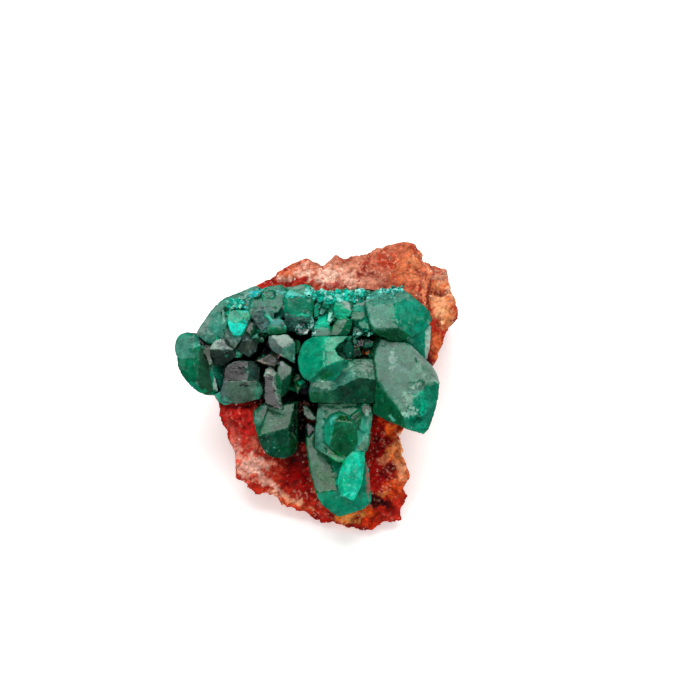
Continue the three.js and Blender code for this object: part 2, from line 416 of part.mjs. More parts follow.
// ---- crystals -------------------------------------------------------------------------------------

/** How far out a face lies over a place. */
function faceLevel(face, [right, up]) {
  return face.at[2] - face.fall[0] * (right - face.at[0]) - face.fall[1] * (up - face.at[1]);
}

/** The main face and then one face for each ridge. */
function frontFaces(crystal) {
  const faces = [{ at: crystal.at, fall: crystal.fall }];
  for (const [right, up, endRight, endUp, drop, from = 0] of crystal.ridges ?? []) {
    const length = Math.hypot(endRight - right, endUp - up);
    const away = [(endUp - up) / length, (right - endRight) / length];
    const base = faces[from];
    faces.push({
      at: [right, up, faceLevel(base, [right, up])],
      fall: [base.fall[0] + drop * away[0], base.fall[1] + drop * away[1]],
    });
  }
  return faces;
}

/** The half-spaces of a crystal, all of them moved out by `grow`. */
function crystalSpaces(crystal, grow = 0) {
  const faces = frontFaces(crystal);
  const [right, up] = crystal.at;
  const fan = [(right - GROWTH_CENTRE[0]) * FAN, (up - GROWTH_CENTRE[1]) * FAN];
  const lean = crystal.lean ?? fan;
  const axis = new THREE.Vector3(lean[0], lean[1], 1);
  const spaces = faces.map((face) => halfSpace(
    new THREE.Vector3(face.fall[0], face.fall[1], 1),
    new THREE.Vector3(...face.at),
  ));
  const rim = crystal.edge.map((place) => new THREE.Vector3(
    place[0],
    place[1],
    Math.min(...faces.map((face) => faceLevel(face, place))),
  ));
  rim.forEach((corner, i) => {
    const next = rim[(i + 1) % rim.length];
    spaces.push(halfSpace(next.clone().sub(corner).cross(axis), corner));
  });
  spaces.push(halfSpace(new THREE.Vector3(0, 0, -1), new THREE.Vector3(0, 0, crystal.root ?? ROOT_LEVEL)));
  spaces.forEach((space) => { space.reach += grow; });
  return spaces;
}

/** One small crystal of the druse, standing at a place with its own random shape. */
function sprout(random, right, up, out) {
  const size = THREE.MathUtils.lerp(DRUSE_SIZE[0], DRUSE_SIZE[1], random());
  const turn = random() * Math.PI;
  const edge = Array.from({ length: SPROUT_SIDES }, (_, i) => {
    const angle = turn + (i * 2 * Math.PI) / SPROUT_SIDES;
    return [right + size * Math.cos(angle), up + SPROUT_ROUNDNESS * size * Math.sin(angle)];
  });
  const side = random() < 0.5 ? -1 : 1;
  const fall = [side * SPROUT_FALL[0], random() * SPROUT_FALL[1]];
  const ridge = [right, up - side * size, right + 0.2 * size, up + side * size, SPROUT_DROP];
  return { at: [right, up, out + size], fall, edge, ridges: [ridge] };
}

/** A repeatable stream of numbers from 0 to 1. */
function randomStream(seed) {
  let state = seed;
  return () => {
    state = (state * 16807) % 2147483647;
    return state / 2147483647;
  };
}

/** The druse crystals of one cluster. */
function druse(cluster) {
  const random = randomStream(DRUSE_SEED);
  return DRUSE_RUNS.filter(([name]) => name === cluster).flatMap(([, from, to, count, out]) => (
    Array.from({ length: count }, (_, i) => {
      const along = (i + 0.5) / count;
      const right = THREE.MathUtils.lerp(from[0], to[0], along) + (random() - 0.5) * DRUSE_SPREAD[0];
      const up = THREE.MathUtils.lerp(from[1], to[1], along) + (random() - 0.5) * DRUSE_SPREAD[1];
      return sprout(random, right, up, out - DRUSE_DEPTH * random());
    })
  ));
}

// ---- rock -----------------------------------------------------------------------------------------

const toPart = new THREE.Matrix4()
  .makeRotationX(THREE.MathUtils.degToRad(FACE_TILT))
  .setPosition(FACE_SHIFT, FACE_SETBACK, FACE_HEIGHT);
const toFace = toPart.clone().invert();

/** Distance from ROCK_MIDDLE to the outline in the direction of an angle. */
function outlineRadius(angle) {
  const ray = new THREE.Vector2(Math.cos(angle), Math.sin(angle));
  let radius = 0;
  ROCK_OUTLINE.forEach(([right, up], i) => {
    const [nextRight, nextUp] = ROCK_OUTLINE[(i + 1) % ROCK_OUTLINE.length];
    const start = new THREE.Vector2(right - ROCK_MIDDLE[0], up - ROCK_MIDDLE[1]);
    const side = new THREE.Vector2(nextRight - right, nextUp - up);
    const size = ray.cross(side);
    const along = start.cross(side) / size;
    const across = start.cross(ray) / size;
    if (along > 0 && across >= 0 && across <= 1) radius = Math.max(radius, along);
  });
  return radius;
}

/** The skin of the rock in the face frame, its front and sides moved out by `grow`. */
function rockGeometry(grow) {
  const points = [new THREE.Vector3(...ROCK_MIDDLE, rockLevel(...ROCK_MIDDLE) + grow)];
  const rings = [];
  for (let ring = 1; ring <= ROCK_FRONT_RINGS + ROCK_SIDE_RINGS; ring += 1) {
    const doublings = ROCK_FINE_RINGS.filter((start) => ring >= start).length;
    const count = (ROCK_SPOKES / 4) * 2 ** doublings;
    rings.push({ start: points.length, count });
    for (let spoke = 0; spoke < count; spoke += 1) {
      points.push(skinPoint(ring, (spoke * 2 * Math.PI) / count, grow));
    }
  }
  const at = (ring, spoke) => ring.start + (spoke % ring.count);
  const index = [];
  for (let spoke = 0; spoke < rings[0].count; spoke += 1) {
    index.push(0, at(rings[0], spoke), at(rings[0], spoke + 1));
  }
  for (let i = 1; i < rings.length; i += 1) {
    index.push(...stitch(rings[i - 1], rings[i], at));
  }
  const last = rings[rings.length - 1];
  const under = new THREE.Vector3();
  for (let spoke = 0; spoke < last.count; spoke += 1) {
    under.add(points[at(last, spoke)]);
    index.push(points.length, at(last, spoke + 1), at(last, spoke));
  }
  points.push(under.divideScalar(last.count));
  const geometry = new THREE.BufferGeometry().setFromPoints(points);
  geometry.setIndex(index);
  return geometry;
}

/** The triangles between two neighbouring rings, the outer with as many points or twice as many. */
function stitch(inner, outer, at) {
  const index = [];
  const doubled = outer.count === 2 * inner.count;
  for (let spoke = 0; spoke < inner.count; spoke += 1) {
    const [a, b] = [at(inner, spoke), at(inner, spoke + 1)];
    if (doubled) {
      const [c, d, e] = [0, 1, 2].map((step) => at(outer, 2 * spoke + step));
      index.push(a, c, d, a, d, b, b, d, e);
    } else {
      const [c, d] = [at(outer, spoke), at(outer, spoke + 1)];
      index.push(a, c, d, a, d, b);
    }
  }
  return index;
}

/** A point of the rock's skin: rings 1 to ROCK_FRONT_RINGS lie on its front, the rest on its side. */
function skinPoint(ring, angle, grow) {
  const ray = new THREE.Vector3(Math.cos(angle), Math.sin(angle), 0);
  const reach = outlineRadius(angle) + grow;
  const spread = Math.sqrt(Math.min(1, ring / ROCK_FRONT_RINGS));
  const packed = THREE.MathUtils.lerp(spread ** 2, spread, ROCK_RING_PACKING);
  const place = ray.clone().multiplyScalar(reach * packed);
  place.x += ROCK_MIDDLE[0];
  place.y += ROCK_MIDDLE[1];
  place.z = rockLevel(place.x, place.y) + grow;
  if (ring > ROCK_FRONT_RINGS) sinkSide(place, ray, (ring - ROCK_FRONT_RINGS) / ROCK_SIDE_RINGS);
  return place;
}

/** Moves a point of the front's rim down the side, which runs into the face and ends at the broken back. */
function sinkSide(place, ray, part) {
  const height = place.clone().applyMatrix4(toPart).z + ROCK_BELOW_BASE;
  place.z -= (part * height) / Math.cos(THREE.MathUtils.degToRad(FACE_TILT));
  const bulge = ROCK_SIDE_LUMPS[0] * lumps(place.x, place.y, place.z, ROCK_SIDE_LUMP_SIZES[0])
    + ROCK_SIDE_LUMPS[1] * lumps(place.x, place.y, place.z, ROCK_SIDE_LUMP_SIZES[1]);
  place.addScaledVector(ray, rise(part, 0, 0.3) * (bulge - ROCK_SIDE_INSET));
  place.applyMatrix4(toPart);
  const back = ROCK_BACK + ROCK_BACK_LUMPS * lumps(place.x, ROCK_BACK, place.z, ROCK_SIDE_LUMP_SIZES[0]);
  place.y = Math.min(place.y, back);
  place.applyMatrix4(toFace);
}

// ---- assembly -------------------------------------------------------------------------------------

const CUT_SIZE = 90; // a block under the base, larger than the rock every way
const BASE_CUT = new THREE.BoxGeometry(CUT_SIZE, CUT_SIZE, CUT_SIZE).translate(0, 0, -CUT_SIZE / 2);

const group = new THREE.Group();

/** Adds a solid, given in the part's frame, as a named mesh. */
function addMesh(name, solid, material) {
  const mesh = new THREE.Mesh(toGeometry(solid), material);
  mesh.name = name;
  group.add(mesh);
}

const rock = toSolid(rockGeometry(0).applyMatrix4(toPart)).subtract(toSolid(BASE_CUT));
addMesh('matrix', rock, new THREE.MeshStandardMaterial({ color: '#c4552f', roughness: 0.9, metalness: 0 }));

const seat = toSolid(rockGeometry(SEAT_GAP));
let taken = null;
for (const [name, listed] of Object.entries(CLUSTERS)) {
  const crystals = listed.concat(druse(name));
  let cluster = null;
  let claim = null;
  for (const crystal of crystals) {
    const solid = toSolid(convexGeometry(crystalSpaces(crystal)));
    const grown = toSolid(convexGeometry(crystalSpaces(crystal, SEAT_GAP)));
    cluster = cluster ? cluster.add(solid) : solid;
    claim = claim ? claim.add(grown) : grown;
  }
  cluster = cluster.subtract(seat);
  if (taken) cluster = cluster.subtract(taken);
  taken = taken ? taken.add(claim) : claim;
  const material = new THREE.MeshStandardMaterial({ color: '#1c8f6e', roughness: 0.2, metalness: 0 });
  const solid = toSolid(toGeometry(cluster).applyMatrix4(toPart));
  addMesh(name, solid, material);
}

export default group;
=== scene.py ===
"""Dioptase on matrix: green crystals crowded on the sloping face of a lump of iron-stained rock.

The crystals and the rock are laid out in millimetres in the frame of the rock's crystal-bearing face:
right, up the slope, and out, square to the face. FaceFrame turns that into metres in the part's frame.
"""

import itertools
import logging
import math
from dataclasses import dataclass
from enum import Enum

import bmesh
import bpy
import numpy as np
from bpy.types import Material, Mesh, Node, NodeSocket, NodeTree, Object
from mathutils import Matrix, Vector


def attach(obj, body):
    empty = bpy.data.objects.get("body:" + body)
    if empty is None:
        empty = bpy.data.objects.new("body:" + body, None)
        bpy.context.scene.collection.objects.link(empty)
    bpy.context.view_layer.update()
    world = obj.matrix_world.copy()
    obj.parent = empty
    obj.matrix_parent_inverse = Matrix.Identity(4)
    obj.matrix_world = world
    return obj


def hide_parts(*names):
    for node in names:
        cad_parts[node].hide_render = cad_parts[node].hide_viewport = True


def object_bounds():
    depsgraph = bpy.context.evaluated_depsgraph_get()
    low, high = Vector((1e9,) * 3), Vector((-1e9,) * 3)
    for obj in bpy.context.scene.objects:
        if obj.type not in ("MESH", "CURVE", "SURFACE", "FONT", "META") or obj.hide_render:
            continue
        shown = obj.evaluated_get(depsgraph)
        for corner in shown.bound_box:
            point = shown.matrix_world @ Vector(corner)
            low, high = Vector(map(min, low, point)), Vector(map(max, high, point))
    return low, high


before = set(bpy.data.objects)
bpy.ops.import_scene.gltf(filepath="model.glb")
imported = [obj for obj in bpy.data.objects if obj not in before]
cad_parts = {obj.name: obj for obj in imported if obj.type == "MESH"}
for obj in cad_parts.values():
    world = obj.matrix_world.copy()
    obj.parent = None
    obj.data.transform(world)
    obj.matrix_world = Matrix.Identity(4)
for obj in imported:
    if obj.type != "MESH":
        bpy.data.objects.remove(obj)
CAD_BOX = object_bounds()

log = logging.getLogger("dioptase")

Array = np.ndarray
Pair = tuple[float, float]
Triple = tuple[float, float, float]

MM = 0.001
ROOT_LEVEL = -4.0  # mm, where a crystal's root ends inside the rock
CRUST_ROOT = -1.5  # mm, the same for the crust under a cluster
GROWTH_CENTRE = (0.0, 3.0)  # mm, the crystals fan out from here
FAN = 0.012  # and lean out by this much for each millimetre away from it


def linear(colour: str) -> Triple:
    """Turns an sRGB hex colour into linear light.

    Args:
        colour: The colour as "#rrggbb".

    Returns:
        Red, green and blue in linear light.
    """
    shares = [int(colour[i:i + 2], 16) / 255 for i in (1, 3, 5)]
    return tuple(s / 12.92 if s <= 0.04045 else ((s + 0.055) / 1.055) ** 2.4 for s in shares)


def ramp(value: Array, start: float, end: float) -> Array:
    """Gives 0 before start, 1 after end and a smooth rise between them.

    Args:
        value: Any array.
        start: Where the rise starts.
        end: Where it ends, which may be the smaller.

    Returns:
        An array of the same shape.
    """
    share = np.clip((value - start) / (end - start), 0.0, 1.0)
    return share * share * (3.0 - 2.0 * share)


def from_middle(place: Array, right: float, up: float, half_width: float, half_height: float) -> Array:
    """How far points lie from the middle of an ellipse, where 1 is its rim."""
    return np.hypot((place[:, 0] - right) / half_width, (place[:, 1] - up) / half_height)


def blend(first: Array, second: Array, share: Array) -> Array:
    """Mixes two sets of colours.

    Args:
        first: Colours, one row each, or a single one.
        second: The same.
        share: How much of the second goes in, one number for each row.

    Returns:
        One colour for each row.
    """
    share = np.asarray(share)[:, None]
    return np.asarray(first) * (1.0 - share) + np.asarray(second) * share


class Lumps:
    """Smooth random lumps and random cells in space, the same on every run."""

    GAIN: float = 1.6  # brings the heights to about -1 to 1
    LAYERED_GAIN: float = 1.3  # the same for layers, which seldom peak together
    LAYER_SHIFT: float = 7.3  # keeps the layers' grids apart
    ENTRIES: int = 256  # in each table, a power of two
    BEYOND: float = 9.0  # farther than any neighbouring cell

    def __init__(self, seed: int) -> None:
        """Draws the random tables.

        Args:
            seed: Any whole number.
        """
        rng = np.random.default_rng(seed)
        self.order = rng.permutation(self.ENTRIES)
        slopes = rng.normal(size=(self.ENTRIES, 3))
        self.slopes = slopes / np.linalg.norm(slopes, axis=1)[:, None]
        self.places = rng.random((self.ENTRIES, 3))

    def _key(self, cell: Array) -> Array:
        """Gives the table entry of each whole-numbered cell."""
        last = self.ENTRIES - 1
        cell = cell & last
        return self.order[(self.order[(self.order[cell[:, 0]] + cell[:, 1]) & last] + cell[:, 2]) & last]

    def at(self, points: Array, size: float) -> Array:
        """Height of the lumps.

        Args:
            points: Places, one row each.
            size: About how far across a lump is.

        Returns:
            Numbers from about -1 to 1.
        """
        scaled = points / size
        cell = np.floor(scaled).astype(np.int64)
        inside = scaled - cell
        fade = inside ** 3 * (inside * (inside * 6.0 - 15.0) + 10.0)  # a smooth step, even in its slope
        total = np.zeros(len(points))
        for corner in itertools.product((0, 1), repeat=3):
            slope = self.slopes[self._key(cell + corner)]
            weight = np.prod(np.where(corner, fade, 1.0 - fade), axis=1)
            total += weight * np.einsum("ij,ij->i", slope, inside - corner)
        return self.GAIN * total

    def rough(self, points: Array, size: float, layers: int) -> Array:
        """Lumps with finer lumps on them.

        Args:
            points: Places, one row each.
            size: Size of the coarsest lumps.
            layers: How many sizes there are, each half of the one before.

        Returns:
            Numbers from about -1 to 1.
        """
        shares = [0.5 ** i for i in range(layers)]
        parts = [share * self.at(points + self.LAYER_SHIFT * i, size * share)
                 for i, share in enumerate(shares)]
        return sum(parts) / sum(shares) * self.LAYERED_GAIN

    def drift(self, points: Array, size: float, layers: int, apart: float) -> Array:
        """Random shifts to the right and up, which make the edge of a pattern wander.

        Args:
            points: Places, one row each.
            size: Size of the coarsest lumps.
            layers: How many sizes there are.
            apart: How far from the points the lumps are read, so that other patterns differ.

        Returns:
            Two numbers from about -1 to 1 for each point.
        """
        return np.stack([self.rough(points + side, size, layers) for side in (apart, -apart)], axis=1)

    def cells(self, points: Array, size: float) -> tuple[Array, Array]:
        """Random cells, such as packed grains.

        Args:
            points: Places, one row each.
            size: About how far across a cell is.

        Returns:
            The distances to the nearest middle and to the next one, in cells.
        """
        scaled = points / size
        cell = np.floor(scaled).astype(np.int64)
        near = np.full(len(points), self.BEYOND)
        next_near = np.full(len(points), self.BEYOND)
        for step in itertools.product((-1, 0, 1), repeat=3):
            middle = cell + step + self.places[self._key(cell + step)]
            away = np.linalg.norm(middle - scaled, axis=1)
            next_near = np.where(away < near, near, np.minimum(next_near, away))
            near = np.minimum(near, away)
        return near, next_near


LUMPS = Lumps(seed=11)


@dataclass(frozen=True)
class FaceFrame:
    """Where the rock's crystal-bearing face lies in the part, in degrees and millimetres."""

    tilt: float = 30.0
    height: float = 13.0
    setback: float = -1.11
    shift: float = -0.14

    def matrix(self) -> Matrix:
        """Turns millimetres on the face into metres in the part."""
        place = Matrix.Translation((self.shift, self.setback, self.height))
        return Matrix.Scale(MM, 4) @ place @ Matrix.Rotation(math.radians(self.tilt), 4, "X")

    def point(self, right: float, up: float, out: float) -> Vector:
        """A place on the face, in the part's frame."""
        return self.matrix() @ Vector((right, up, out))

    def inverse(self) -> Matrix:
        """Turns metres in the part into millimetres on the face."""
        return self.matrix().inverted()


FACE = FaceFrame()


# ---- meshes ----


def add_object(name: str, mesh: Mesh) -> Object:
    """Puts a mesh into the scene.

    Args:
        name: The object's name.
        mesh: Its mesh.

    Returns:
        The new object.
    """
    obj = bpy.data.objects.new(name, mesh)
    bpy.context.scene.collection.objects.link(obj)
    return obj


def drop(*objects: Object) -> None:
    """Takes helper objects out of the file again."""
    for obj in objects:
        bpy.data.objects.remove(obj)


def rows(values: bpy.types.bpy_prop_collection, name: str, width: int) -> Array:
    """Reads one value of every item of a mesh.

    Args:
        values: The mesh's vertices, or another of its collections.
        name: The name of the value.
        width: How many numbers it has.

    Returns:
        One row for each item.
    """
    flat = np.zeros(len(values) * width)
    values.foreach_get(name, flat)
    return flat.reshape(-1, width)


def positions(mesh: Mesh) -> Array:
    """The mesh's vertices, one row each."""
    return rows(mesh.vertices, "co", 3)


def normals(mesh: Mesh) -> Array:
    """The directions that the vertices face, one row each."""
    return rows(mesh.vertex_normals, "vector", 3)


def place_vertices(mesh: Mesh, points: Array) -> None:
    """Moves the mesh's vertices to new places."""
    mesh.vertices.foreach_set("co", points.ravel())
    mesh.update()


def paint(mesh: Mesh, name: str, values: Array) -> None:
    """Stores a number or a colour for each vertex.

    Args:
        mesh: The mesh.
        name: The name that the material reads it by.
        values: One number or one linear colour for each vertex.
    """
    if values.ndim == 2:
        layer = mesh.attributes.new(name, "FLOAT_COLOR", "POINT")
        full = np.ones((len(values), 4), np.float32)
        full[:, :3] = values
        layer.data.foreach_set("color", full.ravel())
    else:
        layer = mesh.attributes.new(name, "FLOAT", "POINT")
        layer.data.foreach_set("value", values.astype(np.float32))


def convex_hull(points: Array) -> Mesh:
    """The convex solid around some points.

    Args:
        points: One row each; points inside are left out.

    Returns:
        A closed mesh.
    """
    distinct = np.unique(np.round(points, 4), axis=0)
    work = bmesh.new()
    for point in distinct:
        work.verts.new(point)
    hull = bmesh.ops.convex_hull(work, input=work.verts)
    inner = {e for e in hull["geom_interior"] + hull["geom_unused"] if isinstance(e, bmesh.types.BMVert)}
    bmesh.ops.delete(work, geom=list(inner), context="VERTS")
    bmesh.ops.recalc_face_normals(work, faces=work.faces)
    mesh = bpy.data.meshes.new("hull")
    work.to_mesh(mesh)
    work.free()
    return mesh


def shaped(obj: Object) -> Mesh:
    """The object's mesh with its modifiers carried out."""
    graph = bpy.context.evaluated_depsgraph_get()
    return bpy.data.meshes.new_from_object(obj.evaluated_get(graph))


def combine(base: Mesh, others: list[Mesh], operation: str) -> Mesh:
    """Joins solids with a solid, or cuts them out of it.

    Args:
        base: A closed mesh.
        others: Closed meshes.
        operation: UNION or DIFFERENCE.

    Returns:
        The resulting closed mesh.
    """
    obj = add_object("base", base)
    tools = [add_object("tool", mesh) for mesh in others]
    for tool in tools:
        step = obj.modifiers.new("step", "BOOLEAN")
        step.solver = "MANIFOLD"
        step.operation = operation
        step.object = tool
    result = shaped(obj)
    drop(obj, *tools)
    return result


def even_skin(mesh: Mesh, size: float) -> Mesh:
    """Draws a closed mesh anew with small even faces, ready for fine relief.

    Args:
        mesh: A closed mesh.
        size: How far across the new faces are.

    Returns:
        The new mesh.
    """
    obj = add_object("skin", mesh)
    step = obj.modifiers.new("remesh", "REMESH")
    step.mode = "VOXEL"
    step.voxel_size = size
    step.adaptivity = 0.0
    result = shaped(obj)
    drop(obj)
    return result


def finish_piece(name: str, mesh: Mesh, material: Material) -> Object:
    """Moves a piece from the face frame to the part's frame, smooths its shading and lets it ride.

    Args:
        name: The piece's name.
        mesh: Its mesh, in millimetres in the face frame.
        material: Its finish.

    Returns:
        The finished piece.
    """
    mesh.transform(FACE.matrix())
    place_vertices(mesh, np.clip(positions(mesh), *np.array(CAD_BOX)))
    mesh.materials.clear()
    mesh.materials.append(material)
    mesh.shade_smooth()
    mesh.name = name
    obj = add_object(name, mesh)
    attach(obj, "root")
    return obj


# ---- crystals ----


@dataclass(frozen=True)
class ColourPatch:
    """A patch of one colour with a wandering edge, at a place on the face, in mm and degrees. It paints a
    stain, and in places painted sheen and painted shade.

    fray is how broken the patch is and softness how wide its edge is, as shares of its size.
    """

    right: float
    up: float
    half_width: float
    half_height: float
    colour: str
    strength: float = 1.0
    turn: float = 0.0
    fray: float = 0.5
    softness: float = 0.5

    def cover(self, place: Array, fray: Array) -> Array:
        """How much of its colour the stain brings to each point.

        Args:
            place: Where the points lie on the face, right and up.
            fray: How far each point is pushed out of it or into it.

        Returns:
            A number from 0 to 1 for each point.
        """
        turn = math.radians(self.turn)
        right, up = place[:, 0] - self.right, place[:, 1] - self.up
        along = (right * math.cos(turn) + up * math.sin(turn)) / self.half_width
        across = (up * math.cos(turn) - right * math.sin(turn)) / self.half_height
        off = np.hypot(along, across) + self.fray * fray
        return self.strength * ramp(off, 1.0 + 0.5 * self.softness, 1.0 - 0.5 * self.softness)


def colour_patch_rows(*values: tuple[float | str, ...]) -> tuple[ColourPatch, ...]:
    """Colour patches, stains and painted light alike, from rows that hold their values in the order of the
    patch's fields.
    """
    return tuple(ColourPatch(*row) for row in values)


def stained(colour: Array, place: Array, stains_and_painted_light: tuple[ColourPatch, ...], fray: Array) -> Array:
    """Lays colour patches over a colour: stains, and painted sheen and painted shade alike.

    Args:
        colour: The linear colour of each point.
        place: Where the points lie on the face, right and up.
        stains_and_painted_light: The patches, the lowest first.
        fray: How far each point is pushed out of them or into them.

    Returns:
        The colours with the stains on them.
    """
    for stain in stains_and_painted_light:
        colour = blend(colour, np.array(linear(stain.colour)), stain.cover(place, fray))
    return colour


class Tone(Enum):
    """The colours that a crystal's faces take, from clear and deep greens to frosted greys, which are partly
    frost and partly painted sheen, and near-black shades, which are painted shade.
    """

    ICE = "#6fb8a2"
    GLOWING = "#13d2bb"
    REED = "#48645d"
    LAGOON = "#00a380"
    BRIGHT = "#00906b"
    GREEN = "#077e61"
    TEAL = "#027054"
    SAGE = "#036445"
    MOSS = "#004a19"
    DEEP = "#025532"
    DARK = "#043c29"
    LICHEN = "#2f987e"
    MIST = "#3b7e6b"
    # greys: partly frost and partly painted sheen
    SILVER = "#3b5748"
    FOG = "#758f82"
    DUSK = "#273832"
    # near-black and dark purple: painted shade, for faces that show no body colour
    SHADE_ASH = "#060d0a"
    SHADE_PLUM = "#200e25"
    # pale grey: partly frost and partly painted sheen
    CHALK = "#8db0a3"
    # near-black: painted shade, for faces that show no body colour
    SHADE_JET = "#010001"
    IVY = "#256951"
    FERN = "#1a452f"
    FOREST = "#022c0f"
    OLIVE = "#1a2011"
    # near-black: the crust's colour is partly a dark coat and partly painted shade in the pockets between the
    # crystals
    SHADED_CRUST = "#0a0410"


@dataclass(frozen=True)
class Ridge:
    """A line on a crystal's front; on its right-hand side the front falls away by drop more per mm.

    base says which face it bends: 0 is the main face, 1 that of the first ridge, and so on.
    """

    right: float
    up: float
    end_right: float
    end_up: float
    drop: float
    base: int = 0


@dataclass(frozen=True)
class Crystal:
    """One convex crystal, in mm.

    at is a point on its main face and fall how far that face drops for each mm right and up. edge is its
    outline. lean is how far it leans right and up for each mm out, if it doesn't fan out with the others,
    and root the level where it ends. tones are those of the main face and of each ridge's face, the last
    one standing for any that follow, and body that of its sides.
    """

    at: Triple
    fall: Pair
    edge: tuple[Pair, ...]
    ridges: tuple[Ridge, ...] = ()
    lean: Pair | None = None
    root: float = ROOT_LEVEL
    tones: tuple[Tone, ...] = (Tone.GREEN,)
    body: Tone = Tone.DEEP

    def front_count(self) -> int:
        """How many faces its front has."""
        return len(self.ridges) + 1

    def fronts(self) -> list[tuple[Triple, Pair]]:
        """Works out the front faces.

        Returns:
            A point and the fall of the main face and then of each ridge's face.
        """
        faces = [(self.at, self.fall)]
        for ridge in self.ridges:
            run = (ridge.end_right - ridge.right, ridge.end_up - ridge.up)
            length = math.hypot(*run)
            at, fall = faces[ridge.base]
            out = at[2] - fall[0] * (ridge.right - at[0]) - fall[1] * (ridge.up - at[1])
            away = (run[1] / length * ridge.drop, -run[0] / length * ridge.drop)
            faces.append(((ridge.right, ridge.up, out), (fall[0] + away[0], fall[1] + away[1])))
        return faces

    def axis(self) -> Array:
        """The direction the crystal grew in."""
        fan = ((self.at[0] - GROWTH_CENTRE[0]) * FAN, (self.at[1] - GROWTH_CENTRE[1]) * FAN)
        return np.array((*(self.lean or fan), 1.0))

    def planes(self, growth: float = 0.0) -> tuple[Array, Array]:
        """The crystal's faces: its fronts, its walls and then its root.

        Args:
            growth: How far every face is moved out, in mm.

        Returns:
            The outward directions, one row each, and how far out along them the faces lie.
        """
        fronts = self.fronts()
        rim = np.array([
            (right, up, min(a[2] - f[0] * (right - a[0]) - f[1] * (up - a[1]) for a, f in fronts))
            for right, up in self.edge
        ])
        outward = [np.array((f[0], f[1], 1.0)) for _, f in fronts]
        points = [np.array(a) for a, _ in fronts]
        outward += [np.cross(side, self.axis()) for side in np.roll(rim, -1, axis=0) - rim]
        points += list(rim)
        outward.append(np.array((0.0, 0.0, -1.0)))
        points.append(np.array((0.0, 0.0, self.root)))
        directions = np.array([o / np.linalg.norm(o) for o in outward])
        reach = np.einsum("ij,ij->i", directions, np.array(points)) + growth
        return directions, reach

    def solid(self, growth: float = 0.0, tolerance: float = 1e-6) -> Mesh:
        """The crystal as a closed mesh, from the corners where three of its planes meet.

        Args:
            growth: How far every face is moved out, in mm.
            tolerance: How near to parallel planes may be, and how far outside corners.

        Returns:
            The closed mesh.
        """
        directions, reach = self.planes(growth)
        trios = np.array(list(itertools.combinations(range(len(reach)), 3)))
        matrices = directions[trios]
        usable = np.abs(np.linalg.det(matrices)) > tolerance
        corners = np.linalg.solve(matrices[usable], reach[trios[usable]][..., None])[..., 0]
        inside = (corners @ directions.T <= reach + tolerance).all(axis=1)
        return convex_hull(corners[inside])

    def colour_rows(self, count: int) -> list[Triple]:
        """The colours of its faces.

        Args:
            count: How many rows to give.

        Returns:
            The linear colour of each front, and then that of the sides in the rows that are left.
        """
        fronts = list(self.tones) + [self.tones[-1]] * (self.front_count() - len(self.tones))
        return [linear(tone.value) for tone in fronts + [self.body] * (count - len(fronts))]


@dataclass
class SkinReading:
    """What each vertex of a cluster's skin belongs to.

    crystal and face are numbers, and tone is the face whose tone it shows. edge is the distance to the
    nearest edge, depth how far it lies behind the fronts, and along and across where it lies on the
    crystal's own axis and beside it, all in mm.
    """

    crystal: Array
    face: Array
    tone: Array
    edge: Array
    depth: Array
    along: Array
    across: Array

    @classmethod
    def blank(cls, count: int) -> "SkinReading":
        """An empty reading of some vertices."""
        whole, real = [np.zeros(count, int) for _ in range(3)], [np.zeros(count) for _ in range(3)]
        return cls(*whole, *real, np.zeros((count, 3)))


@dataclass(frozen=True)
class Fillers:
    """Small crystals that stand on a cluster's crust at random, in mm."""

    count: int = 0
    corners: int = 6
    size: Pair = (0.35, 0.8)
    rise: Pair = (0.9, 2.3)
    squash: float = 0.85
    unevenness: float = 0.35
    slope: float = 0.3
    fall: Pair = (-0.1, 0.6)
    drop: Pair = (0.5, 1.2)
    tones: tuple[Tone, ...] = (Tone.TEAL, Tone.DEEP, Tone.GREEN, Tone.TEAL, Tone.BRIGHT, Tone.DARK)

    def grown_on(self, crust: Crystal, seed: int) -> tuple[Crystal, ...]:
        """Places them.

        Args:
            crust: The flat crystal that they stand on.
            seed: Any whole number.

        Returns:
            The small crystals.
        """
        outline = np.array(crust.edge)
        middle = outline.mean(axis=0)
        rng = np.random.default_rng(seed)
        grown = []
        for _ in range(self.count):
            corner = rng.integers(len(outline))
            trio = np.array([middle, outline[corner], outline[corner - 1]])
            right, up = rng.dirichlet((1.0, 1.0, 1.0)) @ trio
            size = rng.uniform(*self.size)
            uneven = rng.uniform(0.0, 2 * math.pi, self.corners) * self.unevenness
            turns = np.sort(uneven + np.arange(self.corners) * 2 * math.pi / self.corners)
            edge = tuple((right + size * math.cos(t), up + self.squash * size * math.sin(t)) for t in turns)
            out = crust.at[2] + rng.uniform(*self.rise)
            slope = rng.uniform(-self.slope, self.slope)
            tilt = rng.uniform(0.0, 2 * math.pi)
            run = (size * math.cos(tilt), size * math.sin(tilt))
            ridge = Ridge(right - run[0], up - run[1], right + run[0], up + run[1], rng.uniform(*self.drop))
            tones = tuple(rng.choice(self.tones, 2))
            fall = (slope, rng.uniform(*self.fall))
            grown.append(Crystal((right, up, out), fall, edge, (ridge,), tones=tones, body=Tone.DARK))
        return tuple(grown)


